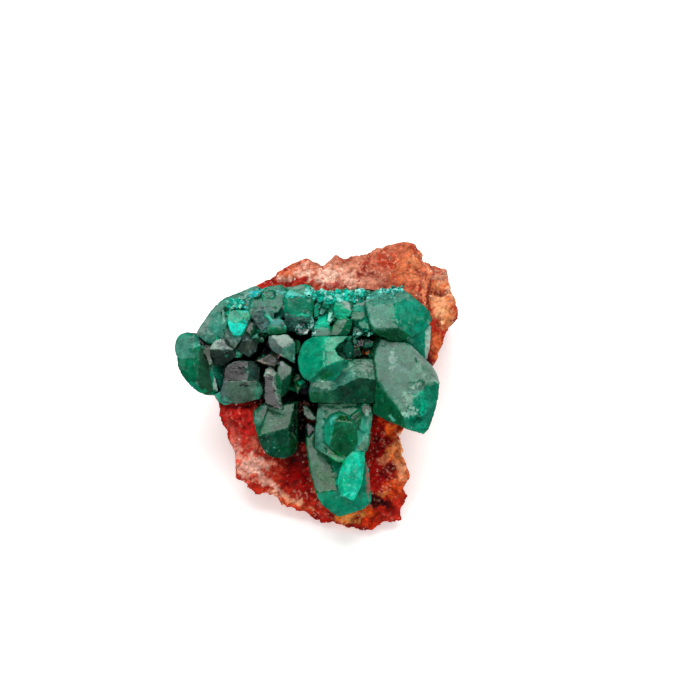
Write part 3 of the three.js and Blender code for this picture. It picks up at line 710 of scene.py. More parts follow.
@dataclass
class CrystalCluster:
    """Crystals that grew into each other and make one solid, in mm in the face frame.

    bites are solids that are broken out of it. Each dent has a place right and up, a radius and a depth.
    Pairs that end in reach say how far behind the fronts something starts and is complete. A shift moves
    the points to another part of the lumps, which has nothing to do with the first.
    """

    name: str
    node: str
    crystals: tuple[Crystal, ...]
    fillers: Fillers = Fillers()
    bites: tuple[Crystal, ...] = ()
    dents: tuple[tuple[float, float, float, float], ...] = ()
    stains_and_painted_light: tuple[ColourPatch, ...] = ()
    # the skin, and how far the crystals grow to make up for their worn edges
    skin: float = 0.12
    growth: float = 0.08
    clearance: float = 0.03
    # relief
    bevel: float = 0.03
    edge_width: float = 0.14
    chip_depth: float = 0.14
    chip_size: float = 0.8
    chip_onset: Pair = (0.0, 0.6)
    wave_height: float = 0.05
    wave_size: float = 1.7
    groove_depth: float = 0.03
    groove_width: float = 0.3
    groove_length: float = 5.0
    step_height: float = 0.015
    step_levels: float = 2.0
    step_size: float = 2.3
    ripple_size: float = 0.6
    pit_depth: float = 0.02
    pit_size: float = 0.35
    dent_raggedness: float = 0.25
    # colour
    tone_wander: float = 0.14
    tone_wander_size: float = 0.9
    tone_shift: float = 30.0
    patch_strength: float = 0.55
    patch_size: float = 2.4
    colour_patch_wander: float = 0.4
    colour_patch_wander_size: float = 1.0
    colour_patch_shift: float = 60.0
    fray_size: float = 0.36
    colour_patch_reach: Pair = (2.4, 1.2)
    # painted shade: the sides darken the deeper they lie below the fronts
    side_shade: float = 0.35
    side_reach: Pair = (0.2, 1.6)
    crust_side: str = "#6a2a1c"
    crust_reach: Pair = (0.5, 1.5)
    # painted glow: colour brightened along the thin edges
    edge_glow: float = 0.16
    glow_width: float = 0.45
    # paler edges, partly wear and partly painted highlight
    rubbed_and_highlight_colour: str = "#7fb8a4"
    rubbed_and_highlight_strength: float = 0.2
    rubbed_and_highlight_width: float = 0.1

    def __post_init__(self) -> None:
        """Lets small crystals fill the room between the named ones, on the crust, which comes first."""
        self.crystals += self.fillers.grown_on(self.crystals[0], len(self.crystals) + self.fillers.count)

    def core(self, growth: float = 0.0) -> Mesh:
        """The plain faceted solid, grown by some mm."""
        solids = [crystal.solid(growth) for crystal in self.crystals]
        return combine(solids[0], solids[1:], "UNION")

    def read_skin(self, points: Array) -> SkinReading:
        """Finds the crystal and the face that each point of the skin lies on.

        Args:
            points: The skin's vertices.

        Returns:
            The reading of every vertex.
        """
        best = np.full(len(points), np.inf)
        most = max(crystal.front_count() for crystal in self.crystals)
        stir = np.stack([LUMPS.rough(points + self.tone_shift * face, self.tone_wander_size, 2)
                         for face in range(most)], axis=1)
        reading = SkinReading.blank(len(points))
        for index, crystal in enumerate(self.crystals):
            directions, reach = crystal.planes(self.growth)
            heights = points @ directions.T - reach
            ordered = np.sort(heights, axis=1)
            off = np.abs(ordered[:, -1])
            closer = off < best
            best[closer] = off[closer]
            face = heights.argmax(axis=1)
            fronts = crystal.front_count()
            wandering = heights[:, :fronts] + self.tone_wander * stir[:, :fronts]
            axis = crystal.axis() / np.linalg.norm(crystal.axis())
            along = points @ axis
            reading.crystal[closer] = index
            reading.face[closer] = face[closer]
            reading.tone[closer] = np.where(face < fronts, wandering.argmax(axis=1), face)[closer]
            reading.edge[closer] = (ordered[:, -1] - ordered[:, -2])[closer]
            reading.depth[closer] = -heights[:, :fronts].max(axis=1)[closer]
            reading.along[closer] = along[closer]
            reading.across[closer] = (points - along[:, None] * axis)[closer]
        return reading

    def on_crust(self, reading: SkinReading) -> Array:
        """1 for each vertex on the crust, and 0 elsewhere."""
        return np.array([float(crystal.body is Tone.SHADED_CRUST) for crystal in self.crystals])[reading.crystal]

    def relief(self, points: Array, reading: SkinReading) -> Array:
        """How far each vertex moves out: worn edges, chips, growth steps, dents and fine grooves.

        Args:
            points: The skin's vertices.
            reading: What they belong to.

        Returns:
            One height in mm for each vertex, mostly below zero.
        """
        near_edge = np.exp(-reading.edge / self.edge_width)
        wave = self.wave_height * LUMPS.at(points, self.wave_size)
        chipped = ramp(LUMPS.rough(points, self.chip_size, 2), *self.chip_onset)
        chips = self.chip_depth * near_edge * chipped
        stretched = reading.across / self.groove_width + reading.along[:, None] / self.groove_length
        grooves = self.groove_depth * LUMPS.at(stretched, 1.0)
        level = self.step_levels * LUMPS.at(points, self.step_size) + LUMPS.at(points, self.ripple_size)
        steps = self.step_height * np.round(level)
        front = wave + steps + self.pit_depth * LUMPS.at(points, self.pit_size)
        ragged = 1.0 + self.dent_raggedness * LUMPS.at(points, self.chip_size)
        for right, up, radius, depth in self.dents:
            off = np.hypot(points[:, 0] - right, points[:, 1] - up) / (radius * ragged)
            front = front - depth * np.sqrt(ramp(off, 1.0, 0.0))
        wall = reading.face >= np.array([c.front_count() for c in self.crystals])[reading.crystal]
        return np.where(wall, wave + grooves, front) - self.bevel * near_edge - chips

    def colours(self, points: Array, reading: SkinReading) -> Array:
        """The colour of each vertex: the tone of its face, patchy, with its stains and painted light, painted
        shade on the sides below the fronts, a painted glow along the edges, and paler edges that are partly
        wear and partly painted highlight.

        Args:
            points: The skin's vertices.
            reading: What they belong to.

        Returns:
            One linear colour for each vertex.
        """
        widest = max(crystal.front_count() + 1 for crystal in self.crystals)
        table = np.array([crystal.colour_rows(widest) for crystal in self.crystals])
        colour = table[reading.crystal, np.minimum(reading.tone, widest - 1)]
        patches = LUMPS.rough(points, self.patch_size, 4)
        colour = colour * (1.0 + self.patch_strength * patches)[:, None]
        astray = LUMPS.drift(points, self.colour_patch_wander_size, 2, self.colour_patch_shift)
        place = points[:, :2] + self.colour_patch_wander * astray
        marked = stained(colour, place, self.stains_and_painted_light, LUMPS.rough(points, self.fray_size, 2))
        colour = blend(colour, marked, ramp(reading.depth, *self.colour_patch_reach))
        # painted shade: the sides darken the deeper they lie below the fronts
        colour = colour * (1.0 - self.side_shade * ramp(reading.depth, *self.side_reach))[:, None]
        side = self.on_crust(reading) * ramp(reading.depth, *self.crust_reach)
        colour = blend(colour, np.array(linear(self.crust_side)), side)
        # painted glow brightens the thin edges, and here and there they are frosted pale, partly wear and
        # partly painted highlight
        colour = colour * (1.0 + self.edge_glow * np.exp(-reading.edge / self.glow_width))[:, None]
        rubbed_and_highlight = np.exp(-reading.edge / self.rubbed_and_highlight_width) * ramp(LUMPS.at(points, self.ripple_size), 0.0, 0.5)
        return np.clip(blend(colour, np.array(linear(self.rubbed_and_highlight_colour)), self.rubbed_and_highlight_strength * rubbed_and_highlight), 0.0, 1.0)

    def build(self, taken: Mesh | None, material: Material) -> Object:
        """Makes the cluster's piece.

        Args:
            taken: The room that other clusters hold.
            material: The crystals' finish.

        Returns:
            The finished piece.
        """
        core = self.core(self.growth)
        if self.bites:
            core = combine(core, [bite.solid() for bite in self.bites], "DIFFERENCE")
        if taken is not None:
            core = combine(core, [taken.copy()], "DIFFERENCE")
        mesh = even_skin(core, self.skin)
        points = positions(mesh)
        reading = self.read_skin(points)
        paint(mesh, "tint", self.colours(points, reading))
        paint(mesh, "crust", self.on_crust(reading))
        move = self.relief(points, reading)
        place_vertices(mesh, points + normals(mesh) * move[:, None])
        piece = finish_piece(self.name, mesh, material)
        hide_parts(self.node)
        return piece


# ---- the clusters ----
# The rows of colour patches give right, up, half width, half height, colour, strength, turn, fray, softness.
# In the crystals' rows the pale grey and white patches are partly frost and partly painted sheen, and the
# near-black ones are painted shade. The rock's rows hold real stains and some painted shade.

CENTRE = CrystalCluster(
    name="centre_dioptases",
    node="centre_crystals",
    bites=(
        # the broken corner over the pocket
        Crystal((4.3, 5.2, 12), (0, 0),
            ((2.9, 5.3), (3.3, 4.5), (4.3, 3.8), (5.6, 3.7), (5.6, 6.5), (4.6, 6.5), (3.6, 6.1)), root=4.4),
        Crystal((4.8, 6.8, 12), (0, 0), ((3.5, 6), (5.6, 5.6), (5.6, 7.4), (4.5, 7.4), (4.2, 6.6)),
            root=4.4),
    ),
    dents=((3, 0.6, 0.6, 0.12),),
    stains_and_painted_light=colour_patch_rows(
        (0.9, 0.25, 1.3, 0.5, "#aad9c2", 0.85, 0, 0.5, 0.8), (4.4, 2.6, 0.8, 0.35, "#78b495", 0.8, 40),
        (6.6, 3.6, 1.2, 0.35, "#316349", 0.6), (1.6, 1.5, 0.9, 0.45, "#015c1f", 0.7, 20),
        (2.8, 3.3, 1, 0.3, "#00916d", 0.5, 30), (3.4, 4.4, 0.7, 0.25, "#4fa689", 0.5, -30),
        (-1.9, 3.8, 0.25, 1.3, "#0c9570", 0.6), (2, -1.2, 1.4, 0.9, "#105a43", 0.5),
        (6.8, 4.6, 0.4, 0.3, "#cb5f15", 0.9, 20, 0.5, 0.6), (7.4, 4.9, 0.2, 0.2, "#c49156", 0.9),
        (6.3, 5.3, 0.4, 0.2, "#116e27", 0.8), (6.6, 2.6, 1.2, 0.8, "#8cb09c", 0.4, 0, 1.5),
        (2.6, 5.6, 1, 0.8, "#2ca880", 0.5, 0, 1.2), (0.8, 2, 0.9, 0.5, "#004c2c", 0.6, 0, 1),
        (-1, 5.2, 0.9, 0.9, "#00a47c", 0.6, 0, 1), (3.6, -1.6, 0.9, 0.5, "#003c28", 0.6, 0, 1.1),
        (6.8, -0.6, 0.8, 0.8, "#00563a", 0.6, 0, 1.2),
    ),
    fillers=Fillers(14),
    crystals=(
        # the crust they stand on
        Crystal((3, 2, 1.8), (0, 0),
            ((-1, -1.8), (7.9, -1.9), (8.6, 4.5), (8.4, 6), (5, 6.8), (-1.4, 6), (-2.2, 2.2)),
            root=CRUST_ROOT, tones=(Tone.SHADED_CRUST,), body=Tone.SHADED_CRUST),
        # the bright one in the middle
        Crystal((2.5, 5, 7.6), (0, 0.42),
            ((-1.6, 1.2), (-0.8, 0.75), (2.2, 0.6), (3.3, 1.7), (4.3, 3), (4.9, 5), (4.75, 6.9),
             (-0.3, 6.85), (-1.5, 6.2), (-2.2, 5), (-2.45, 3.6), (-2.2, 2.2)),
            ridges=(Ridge(1.4, 7, 1.2, 2.7, 0.55), Ridge(1.6, 2.9, 4.3, 3.8, 1.1),
             Ridge(0.3, 0.4, 1.7, 2.9, 0.9, 1)),
            tones=(Tone.BRIGHT, Tone.BRIGHT, Tone.TEAL, Tone.MOSS), body=Tone.GREEN),
        # the dark one that it grew over
        Crystal((5, -0.5, 6.2), (0, -0.25),
            ((-0.6, -2.2), (2.8, -2.35), (8.1, -2.3), (8.5, 0.9), (8.3, 3.7), (5.2, 3.7), (2, 2.6),
             (-0.5, 0.9), (-0.95, -0.5)),
            ridges=(Ridge(8.4, 1, 2.9, 1.5, 0.85), Ridge(2.1, 0.8, 2.1, -2.4, 0.35),
             Ridge(2.1, -0.8, -0.6, -0.8, 0.6, 2)),
            tones=(Tone.DARK, Tone.SAGE, Tone.DEEP, Tone.MIST), body=Tone.DEEP),
        # in the pocket beside them
        Crystal((4.3, 5.2, 5.9), (0.2, 0.5),
            ((2.9, 5.1), (3.6, 4.3), (4.8, 3.9), (6.2, 4.5), (6.1, 5.3), (4.7, 6.3), (3.4, 6)),
            ridges=(Ridge(3, 5, 6.2, 5.2, 0.9), Ridge(4.4, 6.3, 4.6, 3.9, 0.6)),
            tones=(Tone.OLIVE, Tone.DUSK), body=Tone.DARK),
        Crystal((5.1, 6.2, 4.7), (0.3, 0.4), ((4.6, 5.7), (5.4, 5.5), (5.7, 6.3), (5.2, 7), (4.7, 6.9)),
            tones=(Tone.MIST,), body=Tone.TEAL),
        Crystal((6.6, 5.9, 3.4), (0.2, 0.4), ((5.9, 5.6), (6.9, 5.3), (7.3, 6.1), (6.5, 6.7), (5.9, 6.4)),
            tones=(Tone.SHADE_ASH,), body=Tone.DARK),
        Crystal((7.7, 5.1, 2.6), (0, 0.5), ((7, 4.4), (8.3, 4.2), (8.6, 5.2), (7.6, 5.9), (6.9, 5.3)),
            tones=(Tone.DARK,), body=Tone.DARK),
    ),
)

TOP_RIGHT = CrystalCluster(
    name="top_right_dioptases",
    node="top_right_crystals",
    dents=((9.6, 12.8, 0.8, 0.15), (11.6, 12.6, 0.6, 0.12), (15.6, 9.6, 0.5, 0.12), (8, 11.6, 0.4, 0.1)),
    stains_and_painted_light=colour_patch_rows(
        (10.2, 13.45, 1.7, 0.22, "#4bd3c3", 0.9, 12), (11.6, 13.8, 0.7, 0.35, "#118d82", 0.9, -20),
        (8.2, 12.6, 1.1, 0.2, "#4cae9f", 0.8, 10), (10.7, 12.7, 0.9, 0.18, "#4d9e91", 0.7, 15),
        (12.3, 12.6, 1.3, 0.5, "#4c8271", 0.7, -25), (6.4, 11.65, 1.6, 0.13, "#899891", 0.9, 20),
        # the pale strip down the prism's right edge is painted sheen
        (15.6, 6.2, 0.22, 1.7, "#a8bead", 0.95, -3), (13.1, 6.4, 0.5, 0.22, "#439378", 0.8, -35),
        (15.7, 8.6, 0.18, 0.6, "#5d8b7c", 0.7, -15), (4, 11.75, 0.9, 0.12, "#98ad9d", 0.8, -12),
        (3.9, 9.75, 1.1, 0.2, "#00bd86", 0.8), (6.2, 10.85, 0.9, 0.3, "#329f84", 0.8, 10),
        (5.8, 9.5, 0.7, 0.25, "#3d785d", 0.7, 10), (2.3, 9.3, 0.2, 0.7, "#508474", 0.9, -20),
        (1, 12.5, 0.9, 0.5, "#28c8b4", 0.9), (2.6, 12.4, 0.9, 0.5, "#00bf99", 0.8),
        (5.2, 12.5, 1.7, 0.5, "#72f9e3", 0.95, 3), (5.3, 12.75, 0.8, 0.14, "#a1ead4", 0.9, -8),
        (3.3, 13, 0.7, 0.2, "#6dbfab", 0.8), (4.3, 8.2, 0.5, 0.9, "#006c42", 0.9, -20),
        (3.3, 9, 0.9, 0.25, "#37795f", 0.8, 15), (2.2, 7.2, 0.7, 0.25, "#205b49", 0.8, 30),
        (9.3, 8.2, 1.2, 0.25, "#3e6d5e", 0.6, -3), (7.6, 9.6, 0.3, 1.4, "#277963", 0.6, 20),
        (11.5, 10.6, 1.6, 0.8, "#008666", 0.5, 20), (9.6, 7.3, 1.5, 0.35, "#004521", 0.8, -20),
        (13.6, 8.9, 1.5, 0.6, "#007a58", 0.5, 30), (8.6, 10.6, 1.4, 1, "#347c6a", 0.5, 0, 1.3),
        (13.4, 11.4, 1.2, 0.8, "#00947a", 0.6, 0, 1.2), (12.8, 9, 1.2, 0.6, "#00684c", 0.6, 0, 1.2),
        (8.2, 8.8, 0.9, 0.6, "#6ca494", 0.4, 0, 1.4), (14.6, 7.6, 0.9, 1.2, "#00866c", 0.6, 0, 1.2),
    ),
    fillers=Fillers(60),
    crystals=(
        # their crust
        Crystal((6, 10, 2), (0, 0.08),
            ((-0.2, 7.3), (8, 7.2), (14.5, 8.2), (13.5, 12.2), (7.4, 13.5), (0.8, 13.3), (-0.1, 11)),
            root=CRUST_ROOT, tones=(Tone.SHADED_CRUST,), body=Tone.SHADED_CRUST),
        # the bed of small ones grown together that fills the room between them
        Crystal((4, 10, 3.4), (0, 0.06),
            ((-0.2, 7.3), (2.6, 6.75), (5.2, 6.9), (8, 7.2), (8.4, 12.6), (7.4, 13.3), (4, 13.35),
             (0.8, 13.2), (-0.1, 11)), ridges=(Ridge(0, 11.6, 7.5, 11.9, 0.35, 0),),
            tones=(Tone.TEAL, Tone.LAGOON), body=Tone.TEAL),
        # the big one
        Crystal((9.3, 9.7, 6.2), (-0.05, 0.4),
            ((7.3, 9.8), (8.1, 7.6), (10.4, 6.45), (11.8, 6.3), (13.5, 6.95), (15.4, 8.1), (16.1, 9.2),
             (15.85, 10.4), (15.2, 11.15), (13, 12.9), (12.2, 13.45), (8.6, 13.5), (7.2, 12.6), (6.9, 11.6)),
            ridges=(Ridge(11.3, 8.2, 10.5, 11.7, 0.42), Ridge(15.2, 11.1, 6.9, 11.7, 0.75),
             Ridge(8, 7.95, 12.6, 8.1, 1.2), Ridge(12, 8, 15.6, 9.9, 0.45, 1)),
            tones=(Tone.TEAL, Tone.GREEN, Tone.MIST, Tone.DEEP, Tone.TEAL), body=Tone.DEEP),
        # the prism under it, whose pale right face is painted sheen
        Crystal((14.3, 5.8, 4.3), (0.1, -0.2),
            ((14.3, 3.9), (14.9, 3.65), (15.45, 3.8), (15.85, 5.4), (16, 8.4), (12.4, 8), (12.2, 6.4)),
            ridges=(Ridge(15.25, 3.9, 15.25, 7.9, 1.1),), tones=(Tone.GREEN, Tone.CHALK), body=Tone.TEAL),
        # the round green one over the centre
        Crystal((3.7, 10.7, 4.4), (0.05, 0.12),
            ((2.6, 10.3), (3.1, 9.7), (3.9, 9.45), (4.6, 9.7), (4.95, 10.5), (4.9, 11.3), (4.3, 11.8),
             (3.4, 12), (2.7, 11.7), (2.5, 11)),
            ridges=(Ridge(4.9, 10.5, 3.1, 11.9, 0.6), Ridge(2.6, 10.4, 4.8, 10, 0.7)),
            tones=(Tone.BRIGHT, Tone.FOG, Tone.LAGOON), body=Tone.GREEN),
        Crystal((3.1, 8.1, 5), (-0.15, 0.4),
            ((1.65, 7), (2.7, 6.65), (3.8, 6.85), (4.7, 7.4), (4.95, 8.4), (4.9, 9.25), (4.2, 9.35),
             (3, 9.2), (2.3, 8.3)), ridges=(Ridge(2.8, 6.7, 4.3, 8.8, 0.9),),
            tones=(Tone.DEEP, Tone.SAGE), body=Tone.DEEP),
        # the turquoise one that leans over the centre
        Crystal((0.8, 7.5, 5), (0, 0.42),
            ((-0.6, 6.8), (1.6, 6.8), (1.85, 8), (1.95, 9.4), (1.7, 10.15), (1, 10.2), (0.4, 9.7), (0, 8.7)),
            ridges=(Ridge(1.9, 8.1, -0.1, 8.1, 0.45),), tones=(Tone.TEAL, Tone.LAGOON), body=Tone.TEAL),
        # small ones between them
        Crystal((5.9, 9.7, 4.2), (0, 0.45),
            ((5, 9.5), (5.5, 9.1), (6.4, 9.3), (7, 9.9), (6.2, 10.3), (5.1, 10.2)),
            tones=(Tone.SAGE,), body=Tone.TEAL),
        Crystal((6.2, 11, 3.9), (0.05, 0.1),
            ((5.1, 10.6), (7.2, 10.3), (7.5, 11.3), (6.9, 11.8), (5.3, 11.3)),
            tones=(Tone.LICHEN,), body=Tone.DEEP),
        Crystal((6.8, 8.6, 4.2), (0.05, 0.45),
            ((5.9, 8.6), (6.4, 8.05), (7.5, 8), (8.1, 8.4), (7.3, 8.9), (6.6, 9.3), (6, 9.1)),
            tones=(Tone.BRIGHT,), body=Tone.TEAL),
        Crystal((7.4, 7.6, 3.8), (0, -0.2), ((6.8, 7.4), (7.3, 7.05), (8, 7.3), (8.2, 8), (7.1, 8.1)),
            tones=(Tone.LAGOON,), body=Tone.DEEP),
        Crystal((5.7, 7.6, 3.6), (-0.1, 0.3), ((5.1, 7.3), (5.7, 6.9), (6.5, 7.2), (6.4, 8), (5.4, 8.4)),
            tones=(Tone.MIST,), body=Tone.TEAL),
        Crystal((2, 9.6, 4), (0.1, 0.45), ((1.6, 9.1), (2.2, 8.9), (2.6, 9.6), (2.4, 10.2), (1.8, 10.3)),
            tones=(Tone.ICE,), body=Tone.TEAL),
        Crystal((1.1, 10.8, 3.7), (0.3, 0.4), ((0.5, 10), (1, 10), (1.7, 11.2), (1.6, 11.6), (0.9, 11.4)),
            tones=(Tone.MIST,), body=Tone.DARK),
        Crystal((0.1, 10.5, 3.6), (0.4, 0.1),
            ((-0.2, 9.6), (0.3, 9.8), (0.6, 11.2), (0.2, 11.6), (-0.2, 11.2)),
            tones=(Tone.LAGOON,), body=Tone.DARK),
    ),
)

RIGHT = CrystalCluster(
    name="right_dioptase",
    node="right_crystal",
    dents=((13.5, -0.3, 0.95, 0.13), (14.6, 0.4, 0.6, 0.14), (13.1, -3.7, 0.7, 0.12),
        (15.6, -2.2, 0.8, 0.12), (14.3, -2, 0.5, 0.1), (12.2, -4.6, 0.5, 0.1), (9.4, 5.8, 0.4, 0.1)),
    stains_and_painted_light=colour_patch_rows(
        # the pale grey patches on the big face are painted sheen, broken up by darker green patches
        (9.4, 4.6, 0.9, 1.9, "#417464", 0.6, 10), (10.5, -0.4, 1, 2.4, "#165e48", 0.5, 35),
        (12.6, 4.4, 1.3, 0.8, "#366956", 0.6, -30), (11.2, 2.4, 0.5, 1.6, "#437261", 0.4, -35),
        (13.7, 0.1, 0.9, 0.16, "#90b5a3", 0.8, 25, 1.6), (13.4, -0.8, 0.8, 0.2, "#2b7f72", 0.8, 10),
        (13, -3.8, 0.9, 0.28, "#6fac98", 0.8, 5, 1.6, 0.9), (10.6, -4.5, 0.5, 0.2, "#53a892", 0.8, -30, 1.6),
        (15.2, 1.7, 0.6, 1.6, "#5f8672", 0.8, 30), (14.2, 2.4, 0.8, 0.9, "#3d7d62", 0.6, -30),
        (15.6, -3.4, 0.6, 1.8, "#1a7763", 0.6, -15), (11.6, -2.6, 1.2, 0.3, "#337557", 0.6, -50),
        (12.2, 0.6, 0.5, 1, "#1c5c48", 0.6, 20, 1.2), (11.7, 3.3, 0.35, 0.9, "#1c5c48", 0.5, 0, 1.2),
        (13, -2.2, 0.45, 1.4, "#a0c4b0", 0.35, 25, 1.4), (10.7, 3.7, 0.4, 1.2, "#9cc0b4", 0.5, 0, 1.4),
        (12.4, 2.2, 1.6, 0.3, "#4c7c70", 0.6, -30, 1.4), (14.9, -3, 0.5, 0.8, "#00ac84", 0.7, 0, 1.2),
        (13.9, -4.6, 0.8, 0.4, "#003c28", 0.8, 0, 1.2), (14.6, -5.4, 0.6, 0.4, "#0c9474", 0.8, 0, 1),
        (12.9, -3.7, 0.7, 0.5, "#a8d0c0", 0.4, 0, 1.7), (14.4, -1.2, 0.6, 0.5, "#009c78", 0.7, 0, 1.2),
    ),
    crystals=(
        Crystal((11.5, 1.5, 7.2), (-0.02, 0.4),
            ((8.15, 4.2), (8, -3.7), (10, -4.8), (12.8, -5.9), (14.9, -6.6), (15.6, -6), (16.3, -4.2),
             (16.95, -1.8), (17.15, 0.3), (16.8, 1.7), (16, 3), (12.8, 6.05), (9.1, 6.6)),
            ridges=(Ridge(15.9, 0.6, 13.2, 5.3, 0.9), Ridge(8.2, 1.2, 12, -3.9, 1.3),
             Ridge(12, -4.2, 15.9, 0.9, 0.7)), lean=(0.25, -0.12), root=-2.5,
            tones=(Tone.IVY, Tone.FOG, Tone.DEEP, Tone.TEAL), body=Tone.DEEP),
    ),
)

LONG = CrystalCluster(
    name="long_dioptase",
    node="long_crystal",
    dents=((5.2, -14.8, 0.5, 0.12), (5.6, -11.2, 0.6, 0.12), (4.6, -13.4, 0.4, 0.1), (2.2, -16.6, 0.6, 0.1),
        (1.9, -4.6, 0.5, 0.15)),
    stains_and_painted_light=colour_patch_rows(
        (0.5, -5, 0.4, 2.6, "#4d8270", 0.85), (3.2, -2.6, 2.4, 0.3, "#76b491", 0.8),
        (2.4, -4.7, 0.85, 0.3, "#3eb49f", 0.9, 42), (1.7, -6.4, 0.4, 1.3, "#048562", 0.8),
        (5.4, -5.6, 0.5, 0.2, "#0c7852", 0.6), (6.6, -6.4, 0.6, 1.7, "#288f75", 0.8, -5),
        (7.3, -4.6, 0.35, 1.3, "#73b499", 0.8), (3.2, -3.7, 1.6, 0.2, "#107851", 0.8),
        (1.4, -12.6, 1.2, 2, "#00571b", 0.8, 10), (0.6, -9.8, 0.6, 1.3, "#3d815a", 0.7, 20),
        (2.6, -9.3, 1.4, 0.45, "#005a1f", 0.8, -20), (3.1, -10.5, 1.2, 0.5, "#009157", 0.8, -20),
        (2.1, -13.9, 1.2, 0.35, "#003700", 0.8), (3.2, -16.2, 2.2, 1, "#008660", 0.5),
        (5.2, -14.7, 0.35, 1, "#0fc9a9", 0.8, -10), (5.9, -11.2, 0.5, 1.6, "#00c8a6", 0.8, 5),
        (4, -12.9, 0.5, 1.4, "#00a075", 0.7, -10), (4, -15, 0.8, 0.25, "#32d9b5", 0.7, 20),
        (7.25, -13, 0.28, 2.8, "#9a5950", 0.9, 3), (7.4, -11.2, 0.25, 0.8, "#0d9889", 0.9),
        (0.2, -2.9, 0.3, 0.4, "#012a18", 0.8), (0.2, -9, 0.8, 1.2, "#1c5c44", 0.6, 0, 1.2),
        (1.6, -15.6, 0.9, 0.7, "#008c66", 0.6, 0, 1.1), (4.4, -17, 0.8, 0.5, "#00946e", 0.6, 0, 1.1),
        (3.6, -5.4, 0.8, 0.5, "#007452", 0.6, 0, 1.1), (4.5, -11.6, 0.45, 1.2, "#20d8b4", 0.6, -20, 1.2),
        (4.9, -13.8, 0.4, 0.8, "#009878", 0.6, 0, 1.1), (1.4, -11.2, 0.6, 0.9, "#0c4430", 0.6, 0, 1.2),
    ),
    crystals=(
        # the one behind
        Crystal((1.5, -5, 5.2), (-0.05, 0.35),
            ((0.4, -2.2), (0, -6), (-0.1, -8.5), (3, -10.5), (6.5, -10), (7.4, -8), (7.8, -4), (7.9, -2.2)),
            ridges=(Ridge(0.9, -2, 1.4, -9.5, 0.35), Ridge(5.4, -9, 6, -2, 0.4)),
            tones=(Tone.SAGE, Tone.MIST, Tone.LICHEN), body=Tone.DEEP),
        # the long one in front
        Crystal((1.2, -12.5, 5.6), (-0.1, 0.38),
            ((-1.35, -7.2), (-1.3, -8.4), (-0.6, -12.8), (0.3, -15.4), (0.9, -16.5), (2.1, -17.45),
             (3.2, -18.15), (6.6, -17.1), (7.7, -16), (7.4, -12), (6.4, -9), (1, -7.2), (-0.6, -6.8)),
            ridges=(Ridge(-0.3, -15, 4, -14.4, 0.95), Ridge(3, -14.4, 2, -9, 0.5),
             Ridge(6.7, -17, 6.9, -9, 0.8)), lean=(0.03, -0.2),
            tones=(Tone.DEEP, Tone.GREEN, Tone.GREEN, Tone.MIST), body=Tone.DEEP),
        # the round one on it
        Crystal((3.9, -6.9, 7.3), (0.05, -0.08),
            ((2, -8.4), (3.2, -9.4), (4.3, -9.8), (5.3, -8.9), (5.8, -7.6), (5.75, -6.2), (5.2, -5),
             (4.4, -4.15), (3.2, -3.9), (2.2, -4.3), (1.4, -5.3), (1.05, -6.5), (1.2, -7.4)),
            ridges=(Ridge(2.7, -4.6, 1.9, -8.5, 0.75), Ridge(5.4, -5.1, 2.6, -4.8, 0.9)),
            tones=(Tone.DEEP, Tone.GREEN, Tone.MOSS), body=Tone.GREEN),
        # the turquoise one on it
        Crystal((5, -12.3, 7.6), (-0.05, 0.12),
            ((3.1, -14), (3.5, -14.9), (4.6, -15.6), (5.2, -15.85), (5.8, -14.9), (6.4, -13.3), (6.8, -10.5),
             (6.7, -9.5), (6.1, -9.15), (5, -9.25), (4.2, -10.1), (3.5, -11.6), (3.05, -13.2)),
            ridges=(Ridge(5.3, -15.8, 6, -9, 0.6), Ridge(4.4, -9.4, 3.6, -15.2, 0.45)),
            tones=(Tone.LAGOON, Tone.LAGOON, Tone.LAGOON), body=Tone.LAGOON),
        # splinters in the gap beside them
        Crystal((-1, -4, 3.6), (0.1, 0.4),
            ((-1.75, -2.8), (-1.65, -3.9), (-1.1, -4.5), (-0.5, -4.75), (0, -4.6), (-0.6, -3.6),
             (-1.2, -2.9)), lean=(-0.35, 0), tones=(Tone.SILVER,), body=Tone.SHADE_ASH),
        Crystal((-0.9, -6, 3.3), (0, 0.4),
            ((-1.4, -5.3), (-1.3, -6.6), (-1, -6.9), (-0.3, -6.3), (-0.3, -5.8), (-0.9, -5.1)),
            lean=(-0.3, 0), tones=(Tone.SHADE_JET,), body=Tone.DARK),
        # small ones along the right
        Crystal((6.5, -7.6, 6), (0.15, 0.42),
            ((5.6, -7.5), (6.1, -9), (7.2, -8.9), (7.6, -7), (7, -6.3), (5.9, -6.1)),
            tones=(Tone.SAGE,), body=Tone.TEAL),
        Crystal((6.4, -4.9, 5.8), (0.1, 0.2),
            ((5.2, -5.3), (6.7, -6.4), (7.7, -5.6), (7.9, -3.8), (6.2, -3.3), (5, -4.1)),
            ridges=(Ridge(6.3, -6.4, 6.5, -3.2, 0.6),), tones=(Tone.DEEP, Tone.LICHEN), body=Tone.DEEP),
        Crystal((7, -3.2, 6.3), (0, 0.4),
            ((6.3, -3.4), (6.7, -4.1), (7.5, -4), (7.8, -3.2), (7.5, -2.6), (6.9, -2.4), (6.4, -2.7)),
            tones=(Tone.FOREST,), body=Tone.TEAL),
    ),
)

